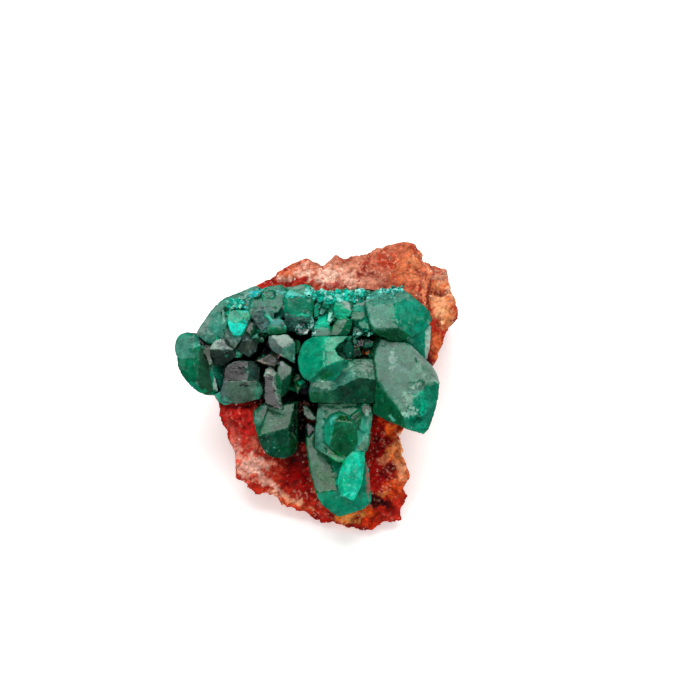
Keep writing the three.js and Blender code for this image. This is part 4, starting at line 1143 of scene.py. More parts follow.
STUBS = CrystalCluster(
    name="stub_dioptases",
    node="stub_crystals",
    stains_and_painted_light=colour_patch_rows(
        (-5.6, -3.2, 1.2, 0.3, "#84b898", 0.85, -12), (-8.1, -4.6, 0.5, 0.8, "#347f67", 0.8, 15),
        (-7, -2.8, 0.7, 0.3, "#649f8b", 0.7, 30), (-5, -5.4, 1.3, 0.6, "#003810", 0.7, 20),
        (-3.5, -4.2, 0.5, 1.4, "#00461e", 0.6), (-4.6, -8.8, 1.2, 0.5, "#014825", 0.6),
        (-6.6, -7.6, 0.8, 0.8, "#174130", 0.6), (-5.8, -4, 0.8, 0.9, "#5c8474", 0.4, 0, 1.4),
        (-6, -8.2, 0.8, 0.8, "#005c44", 0.6, 0, 1.2),
    ),
    crystals=(
        # the one behind
        Crystal((-7.6, -3.9, 3.9), (-0.15, 0.38),
            ((-8.75, -3.6), (-8.35, -6), (-8.1, -7), (-7, -6.4), (-6, -3), (-7, -2.4), (-7.9, -2.9)),
            ridges=(Ridge(-8.8, -4.9, -7, -5, 0.7),), tones=(Tone.SAGE, Tone.SAGE), body=Tone.DEEP),
        # the one in front
        Crystal((-5.3, -4.6, 5.6), (-0.05, 0.4),
            ((-7.95, -7), (-7.6, -8.2), (-7.1, -9.1), (-6.3, -9.7), (-5.4, -10), (-4.5, -10), (-3.3, -9.6),
             (-2.75, -8.9), (-2.7, -2.3), (-4.2, -2.6), (-6.3, -2.9), (-6.6, -3.3)),
            ridges=(Ridge(-8, -6.95, -3.8, -5.85, 0.8), Ridge(-3.95, -6.2, -2.95, -2.4, 1.2),
             Ridge(-3.6, -10, -3.6, -6, 0.5, 1)),
            tones=(Tone.DEEP, Tone.DARK, Tone.SHADE_ASH, Tone.FOREST), body=Tone.DEEP),
    ),
)

MIDDLE = CrystalCluster(
    name="middle_dioptases",
    node="middle_crystals",
    stains_and_painted_light=colour_patch_rows(
        (-6.4, 1.9, 0.6, 0.35, "#8e887f", 0.85, -20), (-5.5, -0.6, 0.2, 1.4, "#47725f", 0.8, 8),
        (-4.7, 3.1, 0.7, 0.25, "#6c7679", 0.7, -40), (-4.6, 1.4, 0.4, 0.4, "#004b30", 0.7),
        (-4.8, 6.5, 1.3, 0.2, "#869b91", 0.7, -8), (-5.9, 5.9, 0.7, 0.5, "#5c6864", 0.7),
        (-3.9, 4.4, 0.5, 0.5, "#599177", 0.7), (-3, 3.6, 0.2, 0.5, "#7be7cb", 0.7),
        (-4.9, 4.2, 0.3, 0.2, "#bc989f", 0.8), (-7.4, 3.5, 0.5, 0.2, "#7d6c61", 0.8),
    ),
    fillers=Fillers(10),
    crystals=(
        # their crust
        Crystal((-4, 2, 1.7), (0, 0),
            ((-8.2, 3.5), (-5.4, -2.9), (-2.4, -1.3), (-1, 0.2), (-2.2, 6.2), (-3.9, 7.1), (-6.4, 6.8)),
            root=CRUST_ROOT, tones=(Tone.SHADED_CRUST,), body=Tone.SHADED_CRUST),
        # the long pale one
        Crystal((-6.1, -0.3, 5.5), (-0.05, 0.42),
            ((-7.15, -2.25), (-6, -2.9), (-4.95, -3.25), (-4.6, -3), (-5.2, 0), (-5.6, 1.9), (-6, 2.5),
             (-6.5, 2.65), (-7, 2.3), (-7.2, 1.6)),
            ridges=(Ridge(-5.6, 1.3, -7.2, 1.5, 0.35), Ridge(-4.9, -3.2, -6.1, 2, 0.5)),
            tones=(Tone.SHADE_JET, Tone.FOG, Tone.SILVER), body=Tone.SHADE_ASH),
        # the one with a whitish rhomb
        Crystal((-4.5, 2.3, 5.8), (0, 0.46),
            ((-5.5, 1.6), (-5.15, -0.9), (-4.6, -1.3), (-4, -0.6), (-3.6, 1), (-3.35, 2.5), (-4.65, 3.5),
             (-4.95, 3.4)), ridges=(Ridge(-5.7, 1.9, -4.7, 0.75, 1), Ridge(-4.7, 0.75, -3.3, 1.9, 1.1)),
            tones=(Tone.SILVER, Tone.DEEP, Tone.DARK), body=Tone.DEEP),
        Crystal((-6.6, 3.7, 4.2), (0, 0.3),
            ((-8.4, 3.5), (-7.6, 3.2), (-5.7, 2.5), (-5.1, 3.6), (-5.2, 4.3), (-5.7, 4.6), (-6.4, 4.5)),
            tones=(Tone.OLIVE,), body=Tone.SHADE_ASH),
        # the one with the palest face
        Crystal((-4.6, 6.4, 5.6), (0.05, 0.46),
            ((-6.6, 6), (-6.2, 5.1), (-4.9, 4.3), (-3.9, 3.7), (-3.1, 3.3), (-2.85, 4.4), (-2.9, 6.1),
             (-3.9, 7.25), (-5, 7.15), (-6.5, 6.95)),
            ridges=(Ridge(-6.1, 7, -4.6, 5.3, 0.85), Ridge(-4.6, 5.3, -3, 6.05, 0.8)),
            tones=(Tone.FOG, Tone.REED, Tone.MIST), body=Tone.SHADE_ASH),
        Crystal((-2.6, 5.6, 4.2), (0.3, 0.2),
            ((-3, 4.8), (-2.5, 4.6), (-2.1, 5.8), (-2.4, 6.4), (-2.9, 6.3)),
            tones=(Tone.DEEP,), body=Tone.DARK),
        Crystal((-2.5, 0.6, 3.2), (-0.1, 0.4),
            ((-3.1, 0.6), (-2.6, -1), (-2.1, -0.3), (-1.9, 0.8), (-2.2, 1.6), (-2.9, 1.7)),
            tones=(Tone.MOSS,), body=Tone.DARK),
        Crystal((-1.5, 0, 2.6), (0.1, 0.1),
            ((-2.2, -0.4), (-1.7, -1.1), (-1, -0.8), (-0.9, 0.6), (-1.5, 1), (-2.1, 0.6)),
            tones=(Tone.SHADE_PLUM,), body=Tone.DARK),
    ),
)

LEFT_BLOCK = CrystalCluster(
    name="left_dioptase_block",
    node="left_block",
    stains_and_painted_light=colour_patch_rows(
        (-13, 0.3, 0.5, 0.5, "#515c5c", 0.7), (-9.3, 1.9, 0.8, 1, "#184b3e", 0.7, 10),
        (-8.2, -0.6, 0.5, 0.5, "#357a61", 0.8), (-10.4, -0.6, 1.5, 0.5, "#415a4e", 0.6),
        (-12.4, -1.9, 0.5, 0.5, "#3b7f6c", 0.8), (-10.6, -1.6, 0.35, 0.5, "#354a42", 0.9),
        # the black line along the top edge is painted shade in the crevice
        (-9.6, 3.3, 1.2, 0.16, "#000000", 0.7),
    ),
    crystals=(
        Crystal((-11, 1.9, 4.5), (-0.05, 0.3),
            ((-12.8, 0.2), (-9, 0), (-7.9, 1), (-8, 2.9), (-8.6, 3.35), (-10.2, 3.55), (-11.2, 3.5),
             (-12.2, 3), (-12.8, 2.3)), ridges=(Ridge(-9.35, -0.2, -9.5, 3.6, 0.6),),
            tones=(Tone.SHADE_JET, Tone.DUSK), body=Tone.DARK),
        Crystal((-10.2, -1, 5.2), (0, 0.14),
            ((-13.3, -0.9), (-12.9, -2.2), (-12, -2.45), (-10.4, -2.35), (-7.8, -1.7), (-7.35, -0.8),
             (-7.6, 0.2), (-8.3, 0.8), (-12.8, 0.6)),
            ridges=(Ridge(-12.4, 0.8, -12.2, -2.6, 0.6), Ridge(-8.7, -2.2, -8.2, 0.9, 0.35)),
            tones=(Tone.SILVER, Tone.REED, Tone.IVY), body=Tone.DUSK),
        Crystal((-13.2, -1.6, 3.4), (-0.25, 0.15),
            ((-14.2, -1.2), (-13.6, -2.1), (-12.8, -2.6), (-12, -2.4), (-12.5, -0.8), (-13.3, -0.8)),
            tones=(Tone.LICHEN,), body=Tone.TEAL),
    ),
)

TIPS = CrystalCluster(
    name="tip_dioptases",
    node="tip_crystals",
    stains_and_painted_light=colour_patch_rows(
        (-18.4, 6.8, 0.9, 0.3, "#4b9c86", 0.6, 15), (-17.4, 4.6, 1.2, 0.4, "#186e5a", 0.6),
        (-18.6, 2.9, 0.6, 0.8, "#367c64", 0.6, 30), (-16, 1.6, 0.6, 1.9, "#124c32", 0.7, 5),
        (-15.4, 6.6, 0.5, 0.5, "#44514b", 0.7), (-15, 4.4, 0.25, 1.6, "#003910", 0.8, 8),
        (-14.5, 2.9, 0.25, 0.7, "#698f7c", 0.8, 10), (-15.9, -0.6, 0.9, 0.3, "#017a50", 0.8, -15),
    ),
    crystals=(
        # the upper of the two tips
        Crystal((-18.1, 5.9, 2.9), (-0.25, 0.2),
            ((-19.5, 4.4), (-18.9, 3.9), (-16, 4), (-15.8, 5.6), (-16.3, 6.9), (-17, 7.25), (-18, 7.5),
             (-18.9, 7.2), (-19.5, 6.5), (-19.7, 5.6)),
            ridges=(Ridge(-16.9, 3.5, -17.1, 7.4, 0.6), Ridge(-17, 7, -19.6, 6.3, 0.5)), lean=(-0.75, 0.1),
            tones=(Tone.MIST, Tone.LICHEN, Tone.GREEN), body=Tone.TEAL),
        # and the lower
        Crystal((-17.6, 2.6, 3.5), (-0.3, 0.12),
            ((-19.35, 3.2), (-19, 2.2), (-17.3, -0.1), (-16.4, -0.75), (-15, -1.25), (-14.3, -0.7),
             (-14.8, 2), (-15.2, 4.4), (-16, 5.6), (-18.3, 4.9), (-19.3, 4)),
            ridges=(Ridge(-16.6, 0.2, -16.2, 5.3, 0.75), Ridge(-17.5, 0.7, -14.5, -0.3, 0.8)),
            lean=(-0.75, 0), tones=(Tone.SAGE, Tone.FERN, Tone.GREEN), body=Tone.GREEN),
        # the thin ridge beside them
        Crystal((-15.4, 5.4, 3.2), (0, 0.35),
            ((-16.6, 7.35), (-15.3, 3.9), (-14.9, 3), (-14.5, 3.2), (-14.7, 5.8), (-15.7, 7)),
            tones=(Tone.SHADE_JET,), body=Tone.SHADE_ASH),
        Crystal((-14.4, 1, 2.7), (-0.1, 0.3),
            ((-15, 3.4), (-15.1, 1), (-14.3, -0.3), (-13.2, -1.1), (-13, -0.5), (-14, 1), (-14.4, 3.2)),
            tones=(Tone.FOG,), body=Tone.SHADE_PLUM),
    ),
)

SHOULDER = CrystalCluster(
    name="shoulder_dioptases",
    node="shoulder_crystals",
    dents=((-10.9, 9.9, 0.6, 0.12), (-11.2, 8.2, 0.5, 0.12), (-10.3, 8.7, 0.4, 0.1), (-14.6, 7.8, 0.6, 0.12),
        (-9.3, 5.6, 0.7, 0.25), (-10.2, 6.8, 0.5, 0.2), (-6.2, 12.8, 0.7, 0.15), (-8.2, 9.8, 0.5, 0.15)),
    stains_and_painted_light=colour_patch_rows(
        (-15.8, 7.9, 0.45, 1.6, "#6d857c", 0.8, -40), (-15.2, 9, 0.5, 0.8, "#779084", 0.6, -40),
        (-13.9, 10.8, 0.9, 0.6, "#649282", 0.7, 20), (-12.85, 9.7, 0.22, 0.9, "#91c7b5", 0.85, 5),
        (-13.6, 8.1, 0.9, 0.9, "#2e8d79", 0.6), (-14.6, 6.4, 0.5, 0.3, "#0f6456", 0.6),
        (-11, 11.1, 1.3, 0.35, "#5fd3ba", 0.9, -12), (-11.7, 11.8, 0.6, 0.4, "#46e5cc", 0.9),
        (-10, 10.9, 0.3, 0.3, "#27d9d9", 0.9), (-12, 9.9, 0.3, 0.9, "#008768", 0.6),
        (-9.7, 9.6, 0.4, 0.6, "#009f6f", 0.6), (-8.5, 13.2, 0.9, 0.25, "#0db9bc", 0.95, 8),
        (-7.4, 13.75, 0.8, 0.12, "#48bcbc", 0.8, 4), (-10, 12.6, 0.9, 0.08, "#8db5aa", 0.9, 35),
        (-9.4, 12.2, 1.3, 0.07, "#7eaea3", 0.8, 33), (-9.2, 11.5, 0.4, 0.6, "#00816e", 0.8),
        (-5, 13.2, 0.5, 0.4, "#1c7f76", 0.7, -30), (-6, 12.8, 0.8, 0.1, "#022720", 0.8, 40),
        (-8.4, 10.2, 0.9, 0.4, "#5a7569", 0.8), (-7.9, 9.2, 0.8, 0.5, "#486562", 0.7),
        (-6.9, 8.4, 0.5, 0.8, "#538683", 0.6), (-12.4, 7.3, 0.45, 0.7, "#557b70", 0.8),
        (-9.3, 8.3, 0.4, 0.4, "#6c736c", 0.8), (-10.9, 6.6, 0.9, 0.4, "#005a4d", 0.7),
        (-9.2, 5.6, 0.6, 0.8, "#3d473d", 0.7), (-8.6, 4.9, 0.2, 0.6, "#384849", 0.7, -30),
        (-8, 6.4, 0.5, 0.3, "#214b37", 0.8, -20), (-5, 9.5, 0.3, 0.2, "#1cd6a6", 0.9),
        (-4.3, 8.5, 0.18, 0.7, "#1c987e", 0.7), (-2, 9.9, 1.5, 0.16, "#1ec49e", 0.85, 2),
        (-4.6, 11, 0.25, 0.25, "#cbd6cf", 0.9), (-2.6, 13.8, 1.6, 0.25, "#7c9587", 0.75, -3),
        (-0.6, 13.4, 0.7, 0.4, "#48ae9f", 0.8, -20), (-2.6, 9.4, 1.5, 0.3, "#568175", 0.8),
        (-0.4, 8.5, 0.2, 0.6, "#d9e7e7", 0.85, -35), (-1.2, 7.4, 0.5, 0.25, "#cbe7d9", 0.8, 30),
        (-2.6, 8.3, 0.5, 0.5, "#338270", 0.8, 0, 1.6), (-8.6, 9, 1.2, 0.7, "#1c2a2c", 0.75, 0, 1),
        (-4, 9.2, 1, 0.9, "#2a3c40", 0.7, 0, 1), (-1.9, 8.6, 0.8, 0.7, "#141c20", 0.75, 0, 1),
        (-5.6, 8.9, 0.7, 0.6, "#0c8c84", 0.8, 0, 0.8), (0.3, 8.2, 0.7, 1.2, "#0c9c84", 0.7, 0, 1),
        (-8.6, 12.8, 1.2, 0.25, "#18b0a8", 0.85, 25, 1), (-3.2, 12.7, 1.6, 0.3, "#1cb8a8", 0.8, -5, 1.2),
        (-7, 10.6, 1.3, 1, "#24504e", 0.6, 0, 1.2), (-12.6, 5.9, 0.9, 0.7, "#14282a", 0.7, 0, 1),
    ),
    fillers=Fillers(70),
    crystals=(
        # their crust
        Crystal((-8, 9, 2), (-0.05, 0.08),
            ((-14.7, 7.2), (-13.8, 3.6), (-9.2, 4.4), (-6.9, 7.2), (-0.6, 7.9), (-0.3, 13.4), (-4, 13.8),
             (-8.8, 13.1), (-12.2, 11.3)), root=CRUST_ROOT, tones=(Tone.SHADED_CRUST,), body=Tone.SHADED_CRUST),
        # the bed of small ones grown together that fills the room between them
        Crystal((-7, 10, 3.4), (-0.12, 0.08),
            ((-13.9, 8.2), (-12.3, 6.4), (-10.2, 7.3), (-7.2, 7.5), (-5, 7.2), (-1, 7.6), (-0.4, 13.3),
             (-4, 13.6), (-8.8, 12.9), (-12.2, 11.1)), tones=(Tone.TEAL,), body=Tone.TEAL),
        Crystal((-14.3, 9.5, 3.4), (-0.3, 0.35),
            ((-16.7, 7.3), (-15.4, 6.3), (-14.5, 6.05), (-13, 6.9), (-12.4, 8.6), (-12.2, 10.5),
             (-12.3, 12.1), (-13.1, 12), (-14, 11.2), (-15, 10), (-16.2, 8.2)),
            ridges=(Ridge(-15.3, 6.6, -12.5, 9, 0.85),), lean=(-0.45, 0.3),
            tones=(Tone.MIST, Tone.MIST), body=Tone.GREEN),
        # the brightest turquoise one
        Crystal((-11, 9.6, 4.9), (0, 0.35),
            ((-12.25, 9.4), (-12, 8), (-11.6, 7.3), (-11, 7), (-10.4, 7.15), (-9.95, 7.9), (-9.3, 9.2),
             (-9.2, 10), (-9.5, 10.5), (-11.2, 10.6), (-12.1, 10.4)),
            ridges=(Ridge(-12.2, 8.9, -9.7, 8.9, 0.5),),
            tones=(Tone.LAGOON, Tone.GLOWING), body=Tone.LAGOON),
        # pale on top, partly frost and partly painted sheen, and dark below
        Crystal((-13.2, 5.8, 4.3), (0, 0.47),
            ((-14.3, 3), (-12.8, 2.9), (-11.2, 4.2), (-11.6, 5.3), (-12.6, 6.6), (-13.5, 6.6), (-14.3, 6.1),
             (-14.7, 5.3)), ridges=(Ridge(-14.6, 5.1, -11.5, 5.05, 1.3),),
            tones=(Tone.FOG, Tone.DUSK), body=Tone.SHADE_PLUM),
        Crystal((-11.8, 6.8, 4.6), (-0.2, 0.3),
            ((-12.85, 7.1), (-12.3, 6), (-11.2, 5.2), (-10.4, 6.6), (-10.8, 7.7), (-12.1, 8.05)),
            tones=(Tone.SILVER,), body=Tone.SHADE_ASH),
        # rough and broken
        Crystal((-9.5, 5.9, 4), (0.15, -0.1),
            ((-11, 5.2), (-9.2, 4.05), (-8.3, 5.3), (-7.9, 6.6), (-8.6, 7.4), (-10.2, 7.4), (-10.9, 6.4)),
            ridges=(Ridge(-9.3, 4, -9, 7.5, 0.6), Ridge(-8, 6.4, -10.9, 6.2, 0.5)),
            tones=(Tone.DUSK, Tone.DUSK, Tone.REED), body=Tone.SHADE_PLUM),
        Crystal((-9.2, 8, 4.5), (-0.1, 0.4),
            ((-9.95, 7.7), (-9, 7.05), (-8.1, 7.7), (-8.2, 8.3), (-8.9, 8.9), (-9.7, 8.9)),
            ridges=(Ridge(-9, 7.1, -8.7, 9, 0.9),), tones=(Tone.FOREST, Tone.DARK), body=Tone.DARK),
        # the broad one at the top
        Crystal((-6.8, 12.2, 3.7), (-0.1, 0.45),
            ((-9.3, 10.4), (-5.2, 10.3), (-4.4, 12), (-4.2, 13.4), (-4.8, 14.1), (-6.5, 13.95), (-8, 13.3),
             (-9, 12)), tones=(Tone.TEAL,), body=Tone.TEAL),
        Crystal((-7.6, 9.4, 4.5), (-0.1, 0.15),
            ((-8.3, 8.6), (-7.6, 7.4), (-6.7, 7.2), (-6.3, 8), (-6, 9.4), (-5.1, 10.4), (-5.4, 10.9),
             (-8.8, 10.8), (-9.3, 10)), ridges=(Ridge(-9, 8.9, -6, 9.2, 0.3),),
            tones=(Tone.REED, Tone.REED), body=Tone.SHADE_ASH),
        # along the rim
        Crystal((-10.5, 12.6, 2.2), (-0.1, 0.6),
            ((-13.2, 11.7), (-12.3, 11.4), (-8.3, 13.1), (-7.9, 13.8), (-8.6, 13.95), (-12.9, 12.2)),
            lean=(-0.3, 0.3), tones=(Tone.MIST,), body=Tone.TEAL),
        Crystal((-9.3, 11.5, 3.4), (0, 0.3),
            ((-10.1, 11), (-9.3, 10.6), (-8.6, 11), (-8.6, 11.8), (-9.7, 12.1)),
            tones=(Tone.DEEP,), body=Tone.TEAL),
        Crystal((-11.7, 11.4, 3.2), (0, 0.4),
            ((-12.4, 11.3), (-12, 10.7), (-10.9, 10.9), (-10.8, 11.8), (-12, 12.1)),
            tones=(Tone.GLOWING,), body=Tone.TEAL),
        # the round green one at the top
        Crystal((-2.4, 11.3, 5.5), (0.05, 0.15),
            ((-4, 7.7), (-2.8, 7.6), (-1.1, 8.4), (-0.5, 9.8), (-0.25, 11.5), (-0.2, 13.2), (-0.8, 14.1),
             (-2, 14.15), (-3.2, 13.8), (-4.2, 13), (-4.45, 11.6), (-4.3, 9.5)),
            ridges=(Ridge(-0.3, 12.9, -4.2, 12.7, 0.55), Ridge(-4.3, 10.1, -0.6, 9.85, 1.3),
             Ridge(-3.9, 13, -4, 9.9, 0.6), Ridge(-0.7, 9.7, -0.8, 13.1, 0.6)),
            tones=(Tone.TEAL, Tone.GREEN, Tone.MIST, Tone.TEAL, Tone.SAGE), body=Tone.DEEP),
        # turquoise above, dark below
        Crystal((-5.3, 8.6, 5.3), (-0.1, 0.25),
            ((-6.6, 7.3), (-5.8, 7), (-4.8, 7.05), (-4.2, 7.3), (-4.05, 8.2), (-4.4, 9), (-5.1, 9.4),
             (-5.7, 9.4), (-6.3, 9), (-6.7, 8.2)), ridges=(Ridge(-6.8, 7.9, -4, 8, 0.9),),
            tones=(Tone.SAGE, Tone.DEEP), body=Tone.DEEP),
        # the pale sliver
        Crystal((-6.6, 9.5, 4.9), (-0.1, 0.4),
            ((-7.2, 9.9), (-6.9, 9.6), (-6.2, 8.95), (-5.9, 9.1), (-6.5, 10), (-6.9, 10.15)),
            tones=(Tone.LAGOON,), body=Tone.SAGE),
        Crystal((-1.9, 8.1, 4.7), (0.1, 0.4),
            ((-2.9, 7.7), (-2.3, 7.2), (-1.2, 7.4), (-1, 8.3), (-1.9, 8.9), (-2.7, 8.7)),
            tones=(Tone.DUSK,), body=Tone.TEAL),
        Crystal((-0.7, 8.5, 4.2), (0.2, 0.4), ((-1.2, 8.2), (-0.7, 7.9), (-0.3, 8.3), (-0.3, 9), (-1, 9.1)),
            tones=(Tone.ICE,), body=Tone.TEAL),
    ),
)

# ---- rock ----


@dataclass
class Rock:
    """The lump of rock that the crystals grew on, in mm in the face frame.

    Each row of rim has a place right and up, a radius, and how far the outline is pushed right and up
    there. Areas, such as a row of sugary, have a place, a half width and a half height.
    """

    name: str = "iron_stained_rock"
    node: str = "matrix"
    skin: float = 0.27
    # relief
    base_fade: Pair = (0.1, 0.6)
    settling: float = 0.2
    swell_height: float = 0.3
    swell_size: float = 3.1
    lump_height: float = 0.34
    lump_size: float = 1.5
    crease_depth: float = 0.2
    crease_size: float = 2.0
    crease_width: float = 0.22
    crease_shift: float = 20.0
    grain_size: float = 0.62
    grain_height: float = 0.08
    grain_level: float = 0.6
    grain_wander: float = 0.2
    grain_wander_size: float = 0.9
    rim_softness: float = 1.3
    # colour
    ground: str = "#a8200e"
    weathered: str = "#b4583c"
    # painted shade: near-black, under the crystals and in the gap beside the long one
    painted_pocket_shade: str = "#0c0409"
    weather_size: float = 5.0
    weather_reach: Pair = (-0.25, 0.2)
    weather_shift: float = 90.0
    back_reach: Pair = (-7.0, -3.5)
    back_wander: float = 1.5
    back_wander_size: float = 4.0
    # where the painted shade lies: how far behind the face, and ellipses under the crystals and in the gap
    painted_pocket_shade_reach: Pair = (-4.0, -2.5)
    covered: tuple[float, ...] = (0, 4, 17, 8.2)
    covered_reach: Pair = (1.0, 0.85)
    gap: tuple[float, ...] = (-2.4, -4.5, 1.6, 5)
    gap_reach: Pair = (1.15, 0.8)
    colour_patch_wander: float = 1.1
    colour_patch_wander_size: float = 2.6
    colour_patch_shift: float = 50.0
    fray_size: float = 0.7
    # hollows painted darker and redder, partly iron stain and partly painted shade; lump tops paler, partly
    # rubbing and partly painted light
    hollow_reach: Pair = (-0.06, -0.42)
    hollow_stain_and_shade: Triple = (0.45, 0.7, 0.75)
    top_reach: Pair = (0.05, 0.4)
    top_rubbing_and_light: Triple = (0.12, 0.35, 0.4)
    sugar_level: float = 0.35
    sugar_swing: float = 0.5
    sugar_size: float = 2.8
    sugar_shift: float = 80.0
    sugary_gain: float = 0.5
    sugary_reach: Pair = (1.4, 0.5)
    stains_and_painted_light: tuple[ColourPatch, ...] = colour_patch_rows(
        # the top: salmon with paler, sugary parts and deep red streaks
        (7, 17, 11.5, 4.8, "#b2654c"), (-4.5, 15.9, 4, 1.6, "#bd613e"), (-6, 14.6, 1.2, 0.4, "#8c0c04", 0.8),
        (-2.6, 14.5, 3.6, 0.4, "#980c04", 0.85, 3), (1.6, 13.9, 1.4, 0.4, "#9c1408", 0.8, -8),
        (4.4, 13.7, 1.3, 0.35, "#a01408", 0.7, -5), (1, 14.9, 1, 0.8, "#a81c0c", 0.6),
        (3, 16, 2.6, 1.6, "#bf7c61", 0.8), (6.5, 14.4, 3.2, 0.9, "#b9735c", 0.7),
        (-1, 16.6, 2.6, 0.7, "#c26b51", 0.7), (9, 17.4, 2.6, 1.6, "#ae563b", 0.6),
        (7, 19.2, 2.6, 0.7, "#b76748", 0.7), (12.6, 16.6, 2.3, 3.8, "#be613b"),
        (11.6, 18.9, 1.3, 0.9, "#b2583c", 0.7), (13.2, 13.8, 1, 1.5, "#bf6342", 0.8),
        (15.4, 13.2, 0.45, 4.2, "#e3845a", 0.9, -6),
        # the ledge down the right
        (18, 12.2, 2.2, 3.6, "#c6683b"), (17.2, 15.6, 1.2, 0.9, "#b88468", 0.7),
        (17.4, 13.2, 0.9, 0.7, "#8c2410", 0.7), (17, 9.3, 0.9, 1, "#841808", 0.8),
        (18.2, 9.8, 0.8, 1.4, "#c47c4c", 0.7), (16.9, 5.8, 1.2, 1.6, "#cf6233"),
        (16.6, 3.8, 0.7, 0.6, "#d66d37", 0.7),
        # the front below the crystals
        (-11.2, -4.6, 2.4, 2.2, "#cb1e16"), (-9.4, -6, 1.6, 2.6, "#cf241e"),
        (-9.8, -9.2, 2.2, 2.4, "#c42c1f"), (-11.2, -8, 0.9, 2.4, "#bf5645", 0.6),
        (-9.6, -10.9, 1.6, 1.2, "#d07863", 0.7), (-7, -10.9, 1.1, 0.9, "#e28970", 0.7),
        (-8.2, -13, 2.4, 1.1, "#c44a36", 0.8), (-5.6, -12.8, 1.6, 1.3, "#c03019", 0.8),
        # the darker red beside the long crystal is partly the rock's own red and partly painted shade
        (-2.6, -12, 2.4, 2.4, "#940000"), (-3.2, -14, 0.7, 0.6, "#5c0404", 0.7),
        (-1.9, -11.2, 0.8, 0.5, "#5c0404", 0.7), (-1.4, -15.2, 1.5, 1, "#940000", 0.8),
        (-4.6, -15.4, 1.6, 0.6, "#ce765b", 0.8, -15), (-4, -16.4, 3.6, 0.5, "#c94b23", 0.8, -18),
        # the near-black strip just under the left crystals, and the dark patch in the gap left of the long
        # one, are painted shade
        (0.4, -18.4, 2.2, 0.6, "#aa0d05", 0.8, -15), (-10.4, -3, 2.8, 0.5, "#5a0209", 0.9),
        (-2.2, -9.6, 1.8, 0.8, "#40040c", 0.8),
        # and right of the long crystal
        (9.4, -9.5, 1.8, 5.6, "#a80000"), (9, -5, 1, 0.7, "#f63b08", 0.9, -20),
        (11.2, -6.4, 1.3, 1.1, "#f96a17", 0.9, -20), (11.6, -9.6, 1.5, 2.2, "#f98844", 0.9),
        (11.8, -12.6, 1.3, 1.8, "#d26336", 0.8), (10.6, -14.6, 1.5, 1.5, "#c5420d", 0.8),
        # the near-black pit is painted shade
        (9.2, -15.2, 0.9, 0.5, "#b87838", 0.7), (9.3, -16.4, 1.1, 0.45, "#240208", 0.95),
        (8, -16.2, 0.5, 0.9, "#1c0206", 0.95), (10.6, -17.8, 1.2, 0.8, "#9c1408", 0.8),
        (4.2, -18.3, 1.6, 0.6, "#ec7723", 0.9, 10), (6.8, -18, 1.4, 0.8, "#e65810", 0.9),
        (7.4, -19.2, 1.2, 0.6, "#db3502", 0.8),
        # loose sugary grains, and dark seams and pits, partly iron red and partly painted shade
        (1.6, 15.1, 2.2, 1.2, "#e4b8a4", 0.85, 0, 1.4), (4.6, 15, 1.6, 0.9, "#dca892", 0.85, 0, 1.4),
        (-1.8, 15.9, 1.5, 0.8, "#dca48e", 0.85, 0, 1.4), (-3.6, 15, 1.6, 0.4, "#e0a894", 0.85, 10, 1.4),
        (6.6, 17.2, 0.5, 2, "#94281a", 0.85, -20, 1.4), (9.9, 17.7, 1.1, 1.1, "#ac2c14", 0.85, 0, 1.4),
        (-5.3, 15.5, 1.9, 0.4, "#ac2814", 0.85, 38, 1.4), (2.6, 14.3, 1, 0.5, "#a82418", 0.85, 0, 1.4),
        (11.4, 14.6, 0.5, 1.8, "#a83c20", 0.85, 10, 1.4), (13.6, 16, 0.4, 2, "#d88458", 0.85, 8, 1.4),
        (-9, -11.4, 1.6, 1.2, "#e0aa98", 0.85, 0, 1.4), (-11.2, -9, 0.7, 1.4, "#d08c7c", 0.85, 0, 1.4),
        (-6.6, -13.8, 2, 0.5, "#dca08c", 0.85, -22, 1.4), (-3.4, -16, 1.9, 0.4, "#e09c74", 0.85, -20, 1.4),
        (-12, -5.4, 0.5, 1.4, "#cc5044", 0.85, 15, 1.4), (-8.6, -8.4, 0.9, 0.7, "#cc5c48", 0.85, 0, 1.4),
        (17.5, 11, 0.8, 1.6, "#e8a070", 0.85, 0, 1.4), (18.5, 13.4, 0.6, 1.3, "#e8a880", 0.85, 0, 1.4),
        (16.1, 13.2, 0.3, 3.2, "#641a0c", 0.85, -4, 1.4), (17.2, 13, 0.7, 0.5, "#641a0c", 0.85, 0, 1.4),
        (17.7, 9.8, 0.5, 0.4, "#641a0c", 0.85, 0, 1.4), (16.9, 7.4, 0.5, 0.6, "#8c2410", 0.85, 0, 1.4),
        (11.9, -8.4, 0.9, 1.5, "#f0a868", 0.85, 0, 1.4), (11.6, -12, 0.7, 1.4, "#e08c60", 0.85, 0, 1.4),
        (8.8, -8.6, 0.7, 1.4, "#6c0404", 0.85, 0, 1.4), (9.8, -12, 0.8, 1, "#740804", 0.85, 0, 1.4),
        (9.4, -10.2, 0.7, 0.6, "#dc7850", 0.85, 0, 1.4), (4.8, -18.4, 1.5, 0.5, "#f0a050", 0.85, 8, 1.4),
    )
    sugary: tuple[tuple[float, float, float, float], ...] = (
        (4, 16, 6, 2.5), (-9, -11, 3.5, 3), (18, 13.5, 1.8, 3.5), (-4.5, -15.5, 4, 1.2),
        (10.5, -9, 2.5, 4),
    )
